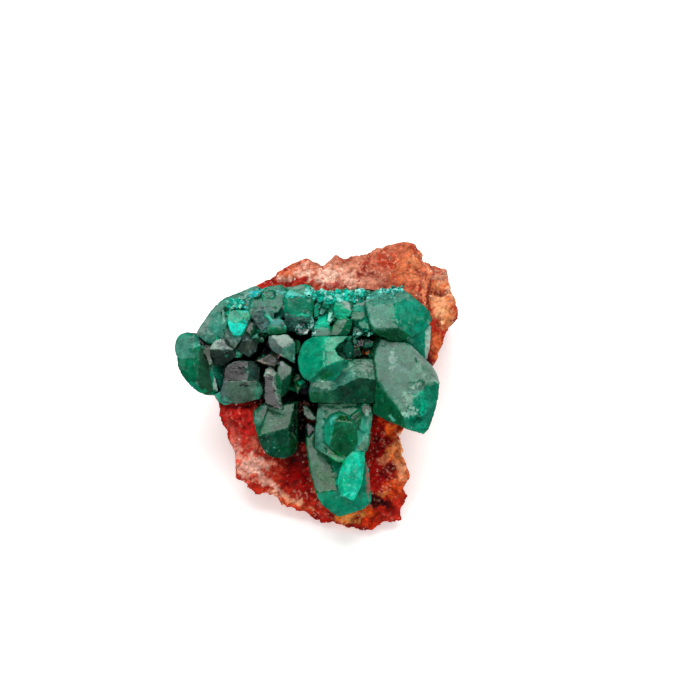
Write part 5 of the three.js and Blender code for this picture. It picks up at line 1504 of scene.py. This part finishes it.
    rim: tuple[tuple[float, float, float, float, float], ...] = (
        (13.4, 19.2, 2.6, 0.4, 0.7), (-1.8, 17.3, 1.9, -0.3, 0.4), (-4.1, 16.5, 2, -0.3, 0.3),
        (1.1, 17.4, 0.8, 0, -0.5), (2.9, 17.9, 0.9, 0, 0.5), (17.2, 15.6, 2.6, 0.4, 0.5),
        (19.3, 11.6, 1.2, 0.1, 0.5), (19.2, 9.6, 1.6, 0.2, -0.3), (-12.8, -4.7, 1.5, -0.6, -0.4),
        (-10.5, -12.4, 2, -0.5, -0.4), (-8.4, -14, 1.6, -0.2, -0.6), (-4.3, -16.1, 1.6, 0, -0.6),
        (0, -18.2, 1.6, 0, -0.6), (4.8, -19.2, 2, 0, -0.7), (7.5, -19, 2, 0.1, -0.9),
        (10.8, -18.1, 1.7, 0.3, -0.9), (12.2, -15.8, 1.1, 0.7, 0), (12.1, -13, 1.1, 0.5, -0.2),
        (12.6, -10, 1.1, -0.4, 0), (15.2, 17.6, 0.7, -0.3, -0.3),
    )

    def build(self, material: Material) -> Object:
        """Makes the rock's piece.

        Args:
            material: The rock's finish.

        Returns:
            The finished piece.
        """
        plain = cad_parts[self.node].data.copy()
        plain.transform(FACE.inverse())
        mesh = even_skin(plain, self.skin)
        points = positions(mesh)
        relief = self.relief(points)
        moved = points + normals(mesh) * relief[:, None]
        for right, up, radius, push_right, push_up in self.rim:
            off = np.hypot(points[:, 0] - right, points[:, 1] - up) / radius
            near = ramp(off, self.rim_softness, 0.0)
            moved[:, 0] += near * push_right
            moved[:, 1] += near * push_up
        # the base stays flat, and nothing sinks below it
        upward = np.array(FACE.inverse().to_3x3() @ Vector((0.0, 0.0, MM)))
        sunk = -self.height(moved)
        lift = np.where(self.height(points) < self.settling, sunk, np.maximum(0.0, sunk))
        moved += lift[:, None] * upward
        paint(mesh, "tint", self.colours(moved, relief))
        paint(mesh, "sugar", self.sugar(moved))
        place_vertices(mesh, moved)
        piece = finish_piece(self.name, mesh, material)
        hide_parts(self.node)
        return piece

    def height(self, points: Array) -> Array:
        """How far points of the face frame lie above the base, in mm."""
        return (points @ np.array(FACE.matrix().to_3x3().row[2]) + FACE.matrix().translation.z) / MM

    def relief(self, points: Array) -> Array:
        """How far each vertex moves out: swells, lumps, creases and packed grains, and nothing at the base.

        Args:
            points: The skin's vertices.

        Returns:
            One height in mm for each vertex.
        """
        swell = self.swell_height * LUMPS.at(points, self.swell_size)
        lump = self.lump_height * LUMPS.rough(points, self.lump_size, 2)
        off_crease = np.abs(LUMPS.at(points + self.crease_shift, self.crease_size))
        lump -= self.crease_depth * ramp(off_crease, self.crease_width, 0.0)
        astray = self.grain_wander * LUMPS.at(points, self.grain_wander_size)[:, None]
        near, next_near = LUMPS.cells(points + astray, self.grain_size)
        grains = self.grain_height * (ramp(next_near - near, 0.0, 0.5) - self.grain_level)
        return (swell + lump + grains) * ramp(self.height(points), *self.base_fade)

    def sugar(self, points: Array) -> Array:
        """How many fresh pale grains show.

        Args:
            points: The vertices.

        Returns:
            A number from 0 to 1 for each vertex.
        """
        swing = self.sugar_swing * LUMPS.rough(points + self.sugar_shift, self.sugar_size, 3)
        amount = self.sugar_level + swing
        for area in self.sugary:
            amount += self.sugary_gain * ramp(from_middle(points, *area), *self.sugary_reach)
        return np.clip(amount, 0.0, 1.0)

    def colours(self, points: Array, relief: Array) -> Array:
        """The colour of each vertex: stained in front, weathered behind, and painted dark as shade under the
        crystals.

        Args:
            points: The vertices.
            relief: How far each of them was moved out.

        Returns:
            One linear colour for each vertex.
        """
        astray = LUMPS.drift(points, self.colour_patch_wander_size, 4, self.colour_patch_shift)
        place = points[:, :2] + self.colour_patch_wander * astray
        ground = np.tile(linear(self.ground), (len(points), 1))
        marked = stained(ground, place, self.stains_and_painted_light, LUMPS.rough(points, self.fray_size, 2))
        weather = LUMPS.rough(points + self.weather_shift, self.weather_size, 4)
        weather = ramp(weather, *self.weather_reach)
        back = blend(ground, np.array(linear(self.weathered)), weather)
        astray = self.back_wander * LUMPS.rough(points, self.back_wander_size, 3)
        front = ramp(points[:, 2] + astray, *self.back_reach)
        colour = blend(back, marked, front)
        # the hollows are painted darker and redder, partly iron stain and partly painted shade, and the tops
        # of the lumps paler, partly rubbing and partly painted light
        hollow = ramp(relief, *self.hollow_reach)[:, None] * np.array(self.hollow_stain_and_shade)
        top = ramp(relief, *self.top_reach)[:, None] * np.array(self.top_rubbing_and_light)
        colour = colour * (1.0 - hollow + top)
        # painted shade: near-black where the crystals stand, and in the gap left of the long one
        under = ramp(from_middle(place, *self.covered), *self.covered_reach)
        beside = ramp(from_middle(place, *self.gap), *self.gap_reach)
        painted_shade_share = np.maximum(under, beside) * ramp(points[:, 2], *self.painted_pocket_shade_reach)
        return blend(colour, np.array(linear(self.painted_pocket_shade)), painted_shade_share)


# ---- grains and druse ----


@dataclass
class Grains:
    """Loose-looking grains of quartz that stand out of the rock's front, as one piece, in mm.

    Most take the rock's own colour, and a few, pale_share of them, one of the pale colours.
    """

    name: str = "quartz_grains"
    count: int = 2600
    size: Pair = (0.1, 0.3)
    small_bias: float = 2.5
    stretch: Pair = (0.6, 1.25)
    unevenness: Pair = (0.8, 1.15)
    sink: float = 0.5
    shades: Pair = (0.75, 1.7)
    pale_shades: Pair = (0.8, 1.15)
    pale: tuple[str, ...] = ("#e3a58c", "#ecc9b8", "#f0d2c4")
    pale_share: float = 0.03
    seed: int = 5
    facing_out: float = 0.15
    lowest: float = -6.0
    clear_above: float = 12.5
    clear_below: float = -2.0
    clear_right: float = 15.0

    def room(self, points: Array, facing: Array) -> Array:
        """Finds where grains may sit: on the rock's front, clear of the crystals.

        Args:
            points: The rock's vertices.
            facing: The directions they face.

        Returns:
            True or False for each vertex.
        """
        right, up, out = points.T
        clear = (up > self.clear_above) | (up < self.clear_below) | (right > self.clear_right)
        return (facing[:, 2] > self.facing_out) & (out > self.lowest) & clear

    def shape(self) -> tuple[Array, Array]:
        """One blocky grain of size 1, an icosahedron before it is stretched.

        Returns:
            Its corners and its triangles.
        """
        golden = (1 + math.sqrt(5)) / 2
        signs = list(itertools.product((-1, 1), repeat=2))
        corners = np.array([(a, b * golden, 0.0) for a, b in signs] + [(0.0, a, b * golden) for a, b in signs]
                           + [(b * golden, 0.0, a) for a, b in signs]) / 1.9
        work = bmesh.new()
        for corner in corners:
            work.verts.new(corner)
        bmesh.ops.convex_hull(work, input=work.verts)
        work.verts.index_update()
        triangles = np.array([[v.index for v in face.verts] for face in work.faces])
        work.free()
        return corners, triangles

    def build(self, rock: tuple[Array, Array, Array], material: Material) -> Object:
        """Makes the piece.

        Args:
            rock: The rock's vertices, the directions they face and their colours.
            material: The grains' finish.

        Returns:
            The finished piece.
        """
        room = self.room(*rock[:2])
        spots, facing, tint = (values[room] for values in rock)
        rng = np.random.default_rng(self.seed)
        chosen = rng.choice(len(spots), self.count, replace=False)
        corners, triangles = self.shape()
        palette = np.array([linear(colour) for colour in self.pale])
        all_points, all_faces, all_colours = [], [], []
        for number, spot in enumerate(chosen):
            turn, _ = np.linalg.qr(rng.normal(size=(3, 3)))
            if np.linalg.det(turn) < 0:
                turn[:, 0] *= -1
            stretch = rng.uniform(*self.stretch, 3)
            size = self.size[0] + (self.size[1] - self.size[0]) * rng.random() ** self.small_bias
            jitter = rng.uniform(*self.unevenness, (len(corners), 1))
            points = (corners * jitter * stretch) @ turn.T * size
            points += spots[spot] - facing[spot] * size * self.sink
            all_points.append(points)
            all_faces.append(triangles + number * len(corners))
            colour = palette[rng.integers(len(palette))] * rng.uniform(*self.pale_shades)
            if rng.random() > self.pale_share:
                colour = tint[spot] * rng.uniform(*self.shades)
            all_colours.append(np.tile(colour, (len(corners), 1)))
        mesh = bpy.data.meshes.new(self.name)
        mesh.from_pydata(np.concatenate(all_points).tolist(), [], np.concatenate(all_faces).tolist())
        paint(mesh, "tint", np.clip(np.concatenate(all_colours), 0.0, 1.0))
        piece = finish_piece(self.name, mesh, material)
        piece.data.shade_flat()
        return piece


@dataclass(frozen=True)
class DruseRun:
    """A streak of fine druse from one place to another on the face, in mm."""

    start: Pair
    end: Pair
    width: float
    count: int
    size: Pair
    colours: tuple[str, ...]

    def room(self, spots: Array, facing: Array, outward: float, lowest: float) -> Array:
        """Finds where its crystals may sit.

        Args:
            spots: Points of the surfaces, one row each.
            facing: The direction of the surface at each of them.
            outward: How squarely a surface has to face out.
            lowest: The level it has to lie above.

        Returns:
            The numbers of the spots that lie along the streak.
        """
        start, end = np.array(self.start), np.array(self.end)
        length = np.linalg.norm(end - start)
        along = (end - start) / length
        offset = spots[:, :2] - start
        share = offset @ along
        off = np.abs(offset @ np.array((-along[1], along[0])))
        on_streak = (share > 0) & (share < length) & (off < self.width)
        return np.flatnonzero(on_streak & (facing[:, 2] > outward) & (spots[:, 2] > lowest))


@dataclass
class Druse:
    """Fine dioptase crystals that crust the rims and gaps, as one piece, in mm."""

    name: str = "fine_druse"
    sides: int = 6
    seed: int = 23
    outward: float = 0.3
    lowest: float = -2.0
    lean: float = 0.45
    sink: float = 0.4
    slenderness: Pair = (0.8, 1.9)
    shoulder: Pair = (0.5, 0.8)
    shades: Pair = (0.7, 1.2)
    runs: tuple[DruseRun, ...] = (
        DruseRun((0.3, 12.5), (6.8, 12.6), 0.7, 130, (0.3, 0.75),
            ("#12d8be", "#0cb498", "#10c8ac", "#8ff0e0")),
        DruseRun((0.3, 12.5), (6.8, 12.6), 0.8, 120, (0.14, 0.32), ("#12d8be", "#08a98c", "#d8fff5")),
        DruseRun((9, 13.3), (12.2, 13.5), 0.45, 60, (0.2, 0.5), ("#14c8b4", "#1a8c7c", "#8fe4d8")),
        DruseRun((7.2, 12.5), (11.4, 12.7), 0.5, 40, (0.1, 0.26), ("#4fb4a4", "#8fd8cc", "#2f8c78")),
        DruseRun((-1.4, 13.3), (0.6, 12.4), 0.6, 60, (0.2, 0.5), ("#19cdb4", "#7fded0", "#0b9c83")),
        DruseRun((-12.4, 11.4), (-10.2, 11.6), 0.5, 50, (0.2, 0.5), ("#1fc9b2", "#8fe8cc", "#10b89c")),
        DruseRun((-0.4, 7.3), (-0.4, 9.6), 0.5, 36, (0.16, 0.4), ("#c8f4ee", "#2fa894", "#0b6c5c")),
        DruseRun((5, 7), (8.4, 7.4), 0.5, 50, (0.16, 0.4), ("#2fc8ac", "#0b7c60", "#a8e8d8", "#013c20")),
        DruseRun((-2.8, 8), (-1.2, 8.6), 0.5, 30, (0.16, 0.4), ("#0b6c5c", "#7fb8ac", "#013c30")),
    )

    def build(self, spots: Array, facing: Array, material: Material) -> Object:
        """Makes the piece.

        Args:
            spots: Points of the surfaces to grow on, one row each.
            facing: The direction of the surface at each of them.
            material: The finish.

        Returns:
            The finished piece.
        """
        rng = np.random.default_rng(self.seed)
        points, faces, colours = [], [], []
        for run in self.runs:
            near = run.room(spots, facing, self.outward, self.lowest)
            palette = np.array([linear(colour) for colour in run.colours])
            for spot in rng.choice(near, min(run.count, len(near)), replace=False):
                size = rng.uniform(*run.size)
                axis = facing[spot] + rng.normal(scale=self.lean, size=3)
                length = size * rng.uniform(*self.slenderness)
                crystal = self.prism(axis / np.linalg.norm(axis), size, length, rng)
                faces += self.prism_faces(len(colours))
                points.append(crystal + spots[spot] - self.sink * size * axis)
                colour = palette[rng.integers(len(palette))] * rng.uniform(*self.shades)
                colours += [colour] * len(crystal)
        mesh = bpy.data.meshes.new(self.name)
        mesh.from_pydata(np.concatenate(points).tolist(), [], faces)
        paint(mesh, "tint", np.clip(np.array(colours), 0.0, 1.0))
        paint(mesh, "crust", np.zeros(len(colours)))
        piece = finish_piece(self.name, mesh, material)
        piece.data.shade_flat()
        return piece

    def prism(self, axis: Array, width: float, length: float, rng: np.random.Generator) -> Array:
        """One small prism with a pointed end.

        Args:
            axis: The direction it points in.
            width: Its width.
            length: Its length.
            rng: The stream of random numbers.

        Returns:
            Its corners: two rings, the foot's middle and the tip.
        """
        side = np.cross(axis, rng.normal(size=3))
        side /= np.linalg.norm(side)
        other = np.cross(axis, side)
        angles = np.arange(self.sides) * 2 * math.pi / self.sides
        ring = 0.5 * width * (np.cos(angles)[:, None] * side + np.sin(angles)[:, None] * other)
        top = ring + axis * length * rng.uniform(*self.shoulder, (1, 1))
        return np.concatenate((ring, top, [np.zeros(3)], [axis * length]))

    def prism_faces(self, first: int) -> list[list[int]]:
        """The faces between a prism's corners.

        Args:
            first: The number of its first corner.

        Returns:
            The corners of each face.
        """
        foot, tip = first + 2 * self.sides, first + 2 * self.sides + 1
        faces = []
        for i in range(self.sides):
            low, next_low = first + i, first + (i + 1) % self.sides
            top, next_top = low + self.sides, next_low + self.sides
            faces += [[low, next_low, next_top, top], [top, next_top, tip], [next_low, low, foot]]
        return faces


# ---- finishes ----


def add_node(tree: NodeTree, kind: str, inputs: dict | None = None, **settings: object) -> Node:
    """Adds a node.

    Args:
        tree: The material's node tree.
        kind: The node's type, without ShaderNode before it.
        inputs: Socket name or number to a value, to an output socket, or to a node for its first output.
        settings: The node's own settings.

    Returns:
        The new node.
    """
    node = tree.nodes.new("ShaderNode" + kind)
    for name, value in settings.items():
        setattr(node, name, value)
    for socket, value in (inputs or {}).items():
        if isinstance(value, Node):
            tree.links.new(value.outputs[0], node.inputs[socket])
        elif isinstance(value, NodeSocket):
            tree.links.new(value, node.inputs[socket])
        else:
            node.inputs[socket].default_value = value
    return node


def new_material(name: str) -> tuple[Material, NodeTree]:
    """Makes an empty material.

    Args:
        name: Its name.

    Returns:
        The material and its node tree.
    """
    material = bpy.data.materials.new(name)
    material.use_nodes = True
    material.node_tree.nodes.clear()
    return material, material.node_tree


def per_mm(size: float) -> float:
    """The noise scale that makes features of this size in mm."""
    return 1 / (size * MM)


@dataclass(frozen=True)
class DioptaseFinish:
    """Natural dioptase: glassy, deep green, clear inside with veils, and frosted in patches.

    Light that enters comes back saturated green, so faces that mirror nothing look deep and faces that
    mirror a lamp look silvery. Growth left them slightly uneven, which breaks the mirror image up. The
    crust under the crystals has the same finish, dull and not see-through.
    """

    name: str = "dioptase_crystal"
    ior: float = 1.66
    specular: float = 0.078
    transmission: float = 0.28
    polish: Pair = (0.12, 0.32)
    crust_dullness: float = 0.5
    veil_size: float = 0.9
    speck: str = "#a9d2c2"
    speck_size: float = 0.28
    speck_zone_size: float = 1.98
    haze_size: float = 1.44
    grit_size: float = 0.2
    grit_depth: float = 0.028
    absorbed: str = "#3fd9a8"
    absorption: float = 220.0

    def material(self) -> Material:
        """Makes the material.

        Returns:
            The material, which reads the tint and crust of each vertex.
        """
        material, tree = new_material(self.name)
        place = add_node(tree, "TexCoord").outputs["Object"]
        tint = add_node(tree, "Attribute", attribute_name="tint").outputs["Color"]
        crust = add_node(tree, "Attribute", attribute_name="crust").outputs["Fac"]
        # veils make the green deeper and paler
        veil = add_node(tree, "TexNoise", {
            "Vector": place, "Scale": per_mm(self.veil_size), "Detail": 6.0, "Roughness": 0.74,
        })
        depth = add_node(tree, "MapRange", {
            "Value": veil, "From Min": 0.3, "From Max": 0.7, "To Min": 0.5, "To Max": 1.5,
        })
        patchy = add_node(tree, "VectorMath", {0: tint, "Scale": depth}, operation="SCALE")
        # pale specks, partly inner flaws and partly painted glints, in some zones only
        speck_noise = add_node(tree, "TexNoise", {
            "Vector": place, "Scale": per_mm(self.speck_size), "Detail": 2.0, "Roughness": 0.6,
        })
        small = add_node(tree, "MapRange", {
            "Value": speck_noise, "From Min": 0.64, "From Max": 0.72, "To Max": 0.7,
        })
        zone = add_node(tree, "TexNoise", {
            "Vector": place, "Scale": per_mm(self.speck_zone_size), "Detail": 2.0,
        })
        few = add_node(tree, "MapRange", {"Value": zone, "From Min": 0.5, "From Max": 0.66})
        specks = add_node(tree, "Math", {0: small, 1: few}, operation="MULTIPLY")
        clear = add_node(tree, "Math", {0: 1.0, 1: crust}, operation="SUBTRACT")
        shown = add_node(tree, "Math", {0: specks, 1: clear}, operation="MULTIPLY")
        base = add_node(tree, "Mix", {0: shown, 6: patchy, 7: (*linear(self.speck), 1.0)}, data_type="RGBA")
        # frosted patches are less polished, and the crust is duller still
        haze = add_node(tree, "TexNoise", {"Vector": place, "Scale": per_mm(self.haze_size), "Detail": 3.0})
        polish = add_node(tree, "MapRange", {
            "Value": haze, "From Min": 0.35, "From Max": 0.65,
            "To Min": self.polish[0], "To Max": self.polish[1],
        })
        dull = add_node(tree, "Math", {0: crust, 1: self.crust_dullness, 2: polish}, operation="MULTIPLY_ADD")
        see_through = add_node(tree, "Math", {0: clear, 1: self.transmission}, operation="MULTIPLY")
        grit = add_node(tree, "TexNoise", {"Vector": place, "Scale": per_mm(self.grit_size), "Detail": 3.0})
        uneven = add_node(tree, "Bump", {"Height": grit, "Strength": 0.6, "Distance": self.grit_depth * MM})
        surface = add_node(tree, "BsdfPrincipled", {
            "Base Color": base.outputs[2], "Roughness": dull, "IOR": self.ior,
            "Specular IOR Level": self.specular,
            "Transmission Weight": see_through, "Normal": uneven,
        })
        inside = add_node(tree, "VolumeAbsorption", {
            "Color": (*linear(self.absorbed), 1.0), "Density": self.absorption,
        })
        add_node(tree, "OutputMaterial", {"Surface": surface, "Volume": inside})
        return material


@dataclass(frozen=True)
class IronStainedRockFinish:
    """Sandstone-like rock stained by iron oxide and broken by hand, dull with a sugary sparkle.

    Packed grains of about a third of a millimetre show as mottling; a few have fresh faces that glint.
    """

    name: str = "iron_stained_rock"
    ior: float = 1.54
    specular: float = 0.12
    fresh: str = "#f0a88a"
    fresh_share: float = 0.38
    grain_size: float = 0.36
    grain_bulge: float = 0.8
    mottle_size: float = 0.9
    grit_size: float = 0.14
    grit_depth: float = 0.05

    def material(self) -> Material:
        """Makes the material.

        Returns:
            The material, which reads the tint and sugar of each vertex.
        """
        material, tree = new_material(self.name)
        place = add_node(tree, "TexCoord").outputs["Object"]
        tint = add_node(tree, "Attribute", attribute_name="tint").outputs["Color"]
        mottle = add_node(tree, "TexNoise", {
            "Vector": place, "Scale": per_mm(self.mottle_size), "Detail": 6.0, "Roughness": 0.7,
        })
        shade = add_node(tree, "MapRange", {
            "Value": mottle, "From Min": 0.3, "From Max": 0.7, "To Min": 0.45, "To Max": 1.5,
        })
        patchy = add_node(tree, "VectorMath", {0: tint, "Scale": shade}, operation="SCALE")
        # each grain draws its own shade, freshness and gloss
        cell = add_node(tree, "TexVoronoi", {
            "Vector": place, "Scale": per_mm(self.grain_size), "Randomness": 1.0,
        })
        pick = add_node(tree, "SeparateColor", {"Color": cell.outputs["Color"]})
        sugar = add_node(tree, "Attribute", attribute_name="sugar").outputs["Fac"]
        lot = add_node(tree, "Math", {
            0: sugar, 1: self.fresh_share, 2: pick.outputs["Green"],
        }, operation="MULTIPLY_ADD")
        fresh = add_node(tree, "MapRange", {
            "Value": lot, "From Min": 1.0, "From Max": 1.15, "To Max": 0.32,
        })
        grain_shade = add_node(tree, "MapRange", {
            "Value": pick.outputs["Red"], "To Min": 0.72, "To Max": 1.25,
        })
        grainy = add_node(tree, "VectorMath", {0: patchy, "Scale": grain_shade}, operation="SCALE")
        base = add_node(tree, "Mix", {0: fresh, 6: grainy, 7: (*linear(self.fresh), 1.0)}, data_type="RGBA")
        gloss = add_node(tree, "MapRange", {
            "Value": pick.outputs["Blue"], "From Min": 0.8, "From Max": 0.9, "To Min": 0.8, "To Max": 0.3,
        })
        grit = add_node(tree, "TexNoise", {
            "Vector": place, "Scale": per_mm(self.grit_size), "Detail": 5.0, "Roughness": 0.7,
        })
        height = add_node(tree, "Math", {0: cell, 1: -self.grain_bulge, 2: grit}, operation="MULTIPLY_ADD")
        uneven = add_node(tree, "Bump", {"Height": height, "Strength": 1.0, "Distance": self.grit_depth * MM})
        surface = add_node(tree, "BsdfPrincipled", {
            "Base Color": base.outputs[2], "Roughness": gloss, "IOR": self.ior,
            "Specular IOR Level": self.specular, "Normal": uneven,
        })
        add_node(tree, "OutputMaterial", {"Surface": surface})
        return material


@dataclass(frozen=True)
class QuartzGrainFinish:
    """Small grains of quartz with fresh broken faces: glassy, so some of them flash."""

    name: str = "quartz_grains"
    ior: float = 1.54
    roughness: float = 0.25
    cloud_size: float = 0.3

    def material(self) -> Material:
        """Makes the material.

        Returns:
            The material, which reads the tint of each vertex.
        """
        material, tree = new_material(self.name)
        place = add_node(tree, "TexCoord").outputs["Object"]
        tint = add_node(tree, "Attribute", attribute_name="tint").outputs["Color"]
        cloud = add_node(tree, "TexNoise", {"Vector": place, "Scale": per_mm(self.cloud_size), "Detail": 3.0})
        shade = add_node(tree, "MapRange", {
            "Value": cloud, "From Min": 0.3, "From Max": 0.7, "To Min": 0.7, "To Max": 1.2,
        })
        patchy = add_node(tree, "VectorMath", {0: tint, "Scale": shade}, operation="SCALE")
        surface = add_node(tree, "BsdfPrincipled", {
            "Base Color": patchy, "Roughness": self.roughness, "IOR": self.ior,
        })
        add_node(tree, "OutputMaterial", {"Surface": surface})
        return material


@dataclass(frozen=True)
class LightTableFinish:
    """Matt opal acrylic lit a little from below, so the shadows on it stay pale."""

    name: str = "opal_acrylic_table"
    colour: str = "#f4f4f2"
    light: str = "#ffffff"
    glow: float = 0.3
    roughness: float = 0.9
    specular: float = 0.2

    def material(self) -> Material:
        """Makes the material.

        Returns:
            The material.
        """
        material, tree = new_material(self.name)
        surface = add_node(tree, "BsdfPrincipled", {
            "Base Color": (*linear(self.colour), 1.0), "Roughness": self.roughness,
            "Specular IOR Level": self.specular,
            "Emission Color": (*linear(self.light), 1.0), "Emission Strength": self.glow,
        })
        add_node(tree, "OutputMaterial", {"Surface": surface})
        return material


# ---- studio ----


@dataclass(frozen=True)
class Softbox:
    """A soft lamp that points at the object, placed by its direction from the object, in degrees.

    azimuth 0 is the side of the crystals' face, 90 the right; elevation runs past 90 to the far side.
    Sizes are in metres. One without shine has crossed polarisers: it brings light and no highlight.
    """

    name: str
    azimuth: float
    elevation: float
    width: float
    height: float
    radiance: float
    shine: bool = True
    distance: float = 1.5

    def build(self) -> None:
        """Puts the lamp into the scene."""
        around, up = math.radians(self.azimuth), math.radians(self.elevation)
        away = Vector((math.sin(around) * math.cos(up), -math.cos(around) * math.cos(up), math.sin(up)))
        lamp = bpy.data.lights.new(self.name, "AREA")
        lamp.shape = "RECTANGLE"
        lamp.size = self.width
        lamp.size_y = self.height
        lamp.energy = self.radiance * math.pi * self.width * self.height
        obj = bpy.data.objects.new(self.name, lamp)
        obj.location = away * self.distance
        obj.rotation_euler = away.to_track_quat("Z", "Y").to_euler()
        obj.visible_glossy = self.shine
        bpy.context.scene.collection.objects.link(obj)


@dataclass(frozen=True)
class Studio:
    """A white table under soft lamps, and the camera that looks squarely at the crystals.

    aim is a place on the face and distance the camera's distance from it, both in mm, as lens and sensor
    are. floor_size and clip are in metres.
    """

    aim: Pair = (4.76, 5.04)
    distance: float = 816.7
    lens: float = 300.0
    sensor: float = 36.0
    clip: Pair = (0.01, 20.0)
    fill: str = "#ffffff"
    fill_strength: float = 0.6
    floor_size: float = 4.0
    softboxes: tuple[Softbox, ...] = (
        Softbox("overhead_softbox", 0.0, 106.0, 1.2, 1.0, 5.2),
        Softbox("right_softbox", 75.0, 40.0, 0.6, 0.9, 0.9, shine=False),
        Softbox("front_softbox", -15.0, 28.0, 1.3, 1.2, 1.1, shine=False),
    )

    def build(self) -> None:
        """Puts the fill light, the lamps, the floor and the camera into the scene."""
        bpy.context.scene.view_settings.view_transform = "Standard"
        self.light()
        self.lay_floor()
        self.set_camera()

    def light(self) -> None:
        """Lights the scene. The fill has no shine either, as the lower two lamps have none."""
        world = bpy.data.worlds.new("studio")
        world.use_nodes = True
        background = world.node_tree.nodes["Background"]
        background.inputs["Color"].default_value = (*linear(self.fill), 1.0)
        background.inputs["Strength"].default_value = self.fill_strength
        world.cycles_visibility.glossy = False
        bpy.context.scene.world = world
        for softbox in self.softboxes:
            softbox.build()

    def lay_floor(self) -> None:
        """Lays the table, which the crystals don't mirror."""
        half = self.floor_size / 2
        sheet = bpy.data.meshes.new("floor")
        corners = [(-half, -half, 0), (half, -half, 0), (half, half, 0), (-half, half, 0)]
        sheet.from_pydata(corners, [], [(0, 1, 2, 3)])
        sheet.materials.append(LightTableFinish().material())
        floor = add_object("floor", sheet)
        floor.visible_glossy = False

    def set_camera(self) -> None:
        """Sets up the camera, square to the face."""
        camera = bpy.data.cameras.new("camera")
        camera.lens = self.lens
        camera.sensor_width = self.sensor
        camera.clip_start, camera.clip_end = self.clip
        obj = bpy.data.objects.new("camera", camera)
        obj.location = FACE.point(*self.aim, self.distance)
        obj.rotation_euler = (math.radians(FACE.tilt), 0.0, 0.0)
        bpy.context.scene.collection.objects.link(obj)
        bpy.context.scene.camera = obj


# ---- assembly ----


def grow_crystals(dioptase: Material) -> list[Object]:
    """Builds the clusters one after another; each leaves out the room that those before it hold.

    Args:
        dioptase: The crystals' finish.

    Returns:
        A piece for each cluster.
    """
    taken, pieces = None, []
    for cluster in (CENTRE, TOP_RIGHT, RIGHT, LONG, STUBS, MIDDLE, LEFT_BLOCK, TIPS, SHOULDER):
        pieces.append(cluster.build(taken, dioptase))
        claim = cluster.core(cluster.growth + cluster.clearance)
        taken = claim if taken is None else combine(taken, [claim], "UNION")
    return pieces


def surface_of(piece: Object) -> tuple[Array, Array, Array]:
    """Reads a piece's surface, in the face frame.

    Args:
        piece: A finished piece.

    Returns:
        Its vertices, the directions they face and their colours, one row each.
    """
    mesh = piece.data.copy()
    mesh.transform(FACE.inverse())
    return positions(mesh), normals(mesh), rows(mesh.attributes["tint"].data, "color", 4)[:, :3]


def main() -> None:
    """Builds the rock, the crystals, the druse and grains on them and the studio, in that order."""
    logging.basicConfig(level=logging.INFO, format="%(name)s %(message)s")
    dioptase = DioptaseFinish().material()
    pieces = [Rock().build(IronStainedRockFinish().material())]
    pieces += grow_crystals(dioptase)
    skins = [surface_of(piece) for piece in pieces]
    spots, facing = (np.concatenate([skin[i] for skin in skins]) for i in (0, 1))
    pieces.append(Druse().build(spots, facing, dioptase))
    pieces.append(Grains().build(skins[0], QuartzGrainFinish().material()))
    for piece in pieces:
        log.info("%s: %d vertices", piece.name, len(piece.data.vertices))
    Studio().build()


if __name__ == "__main__":
    main()
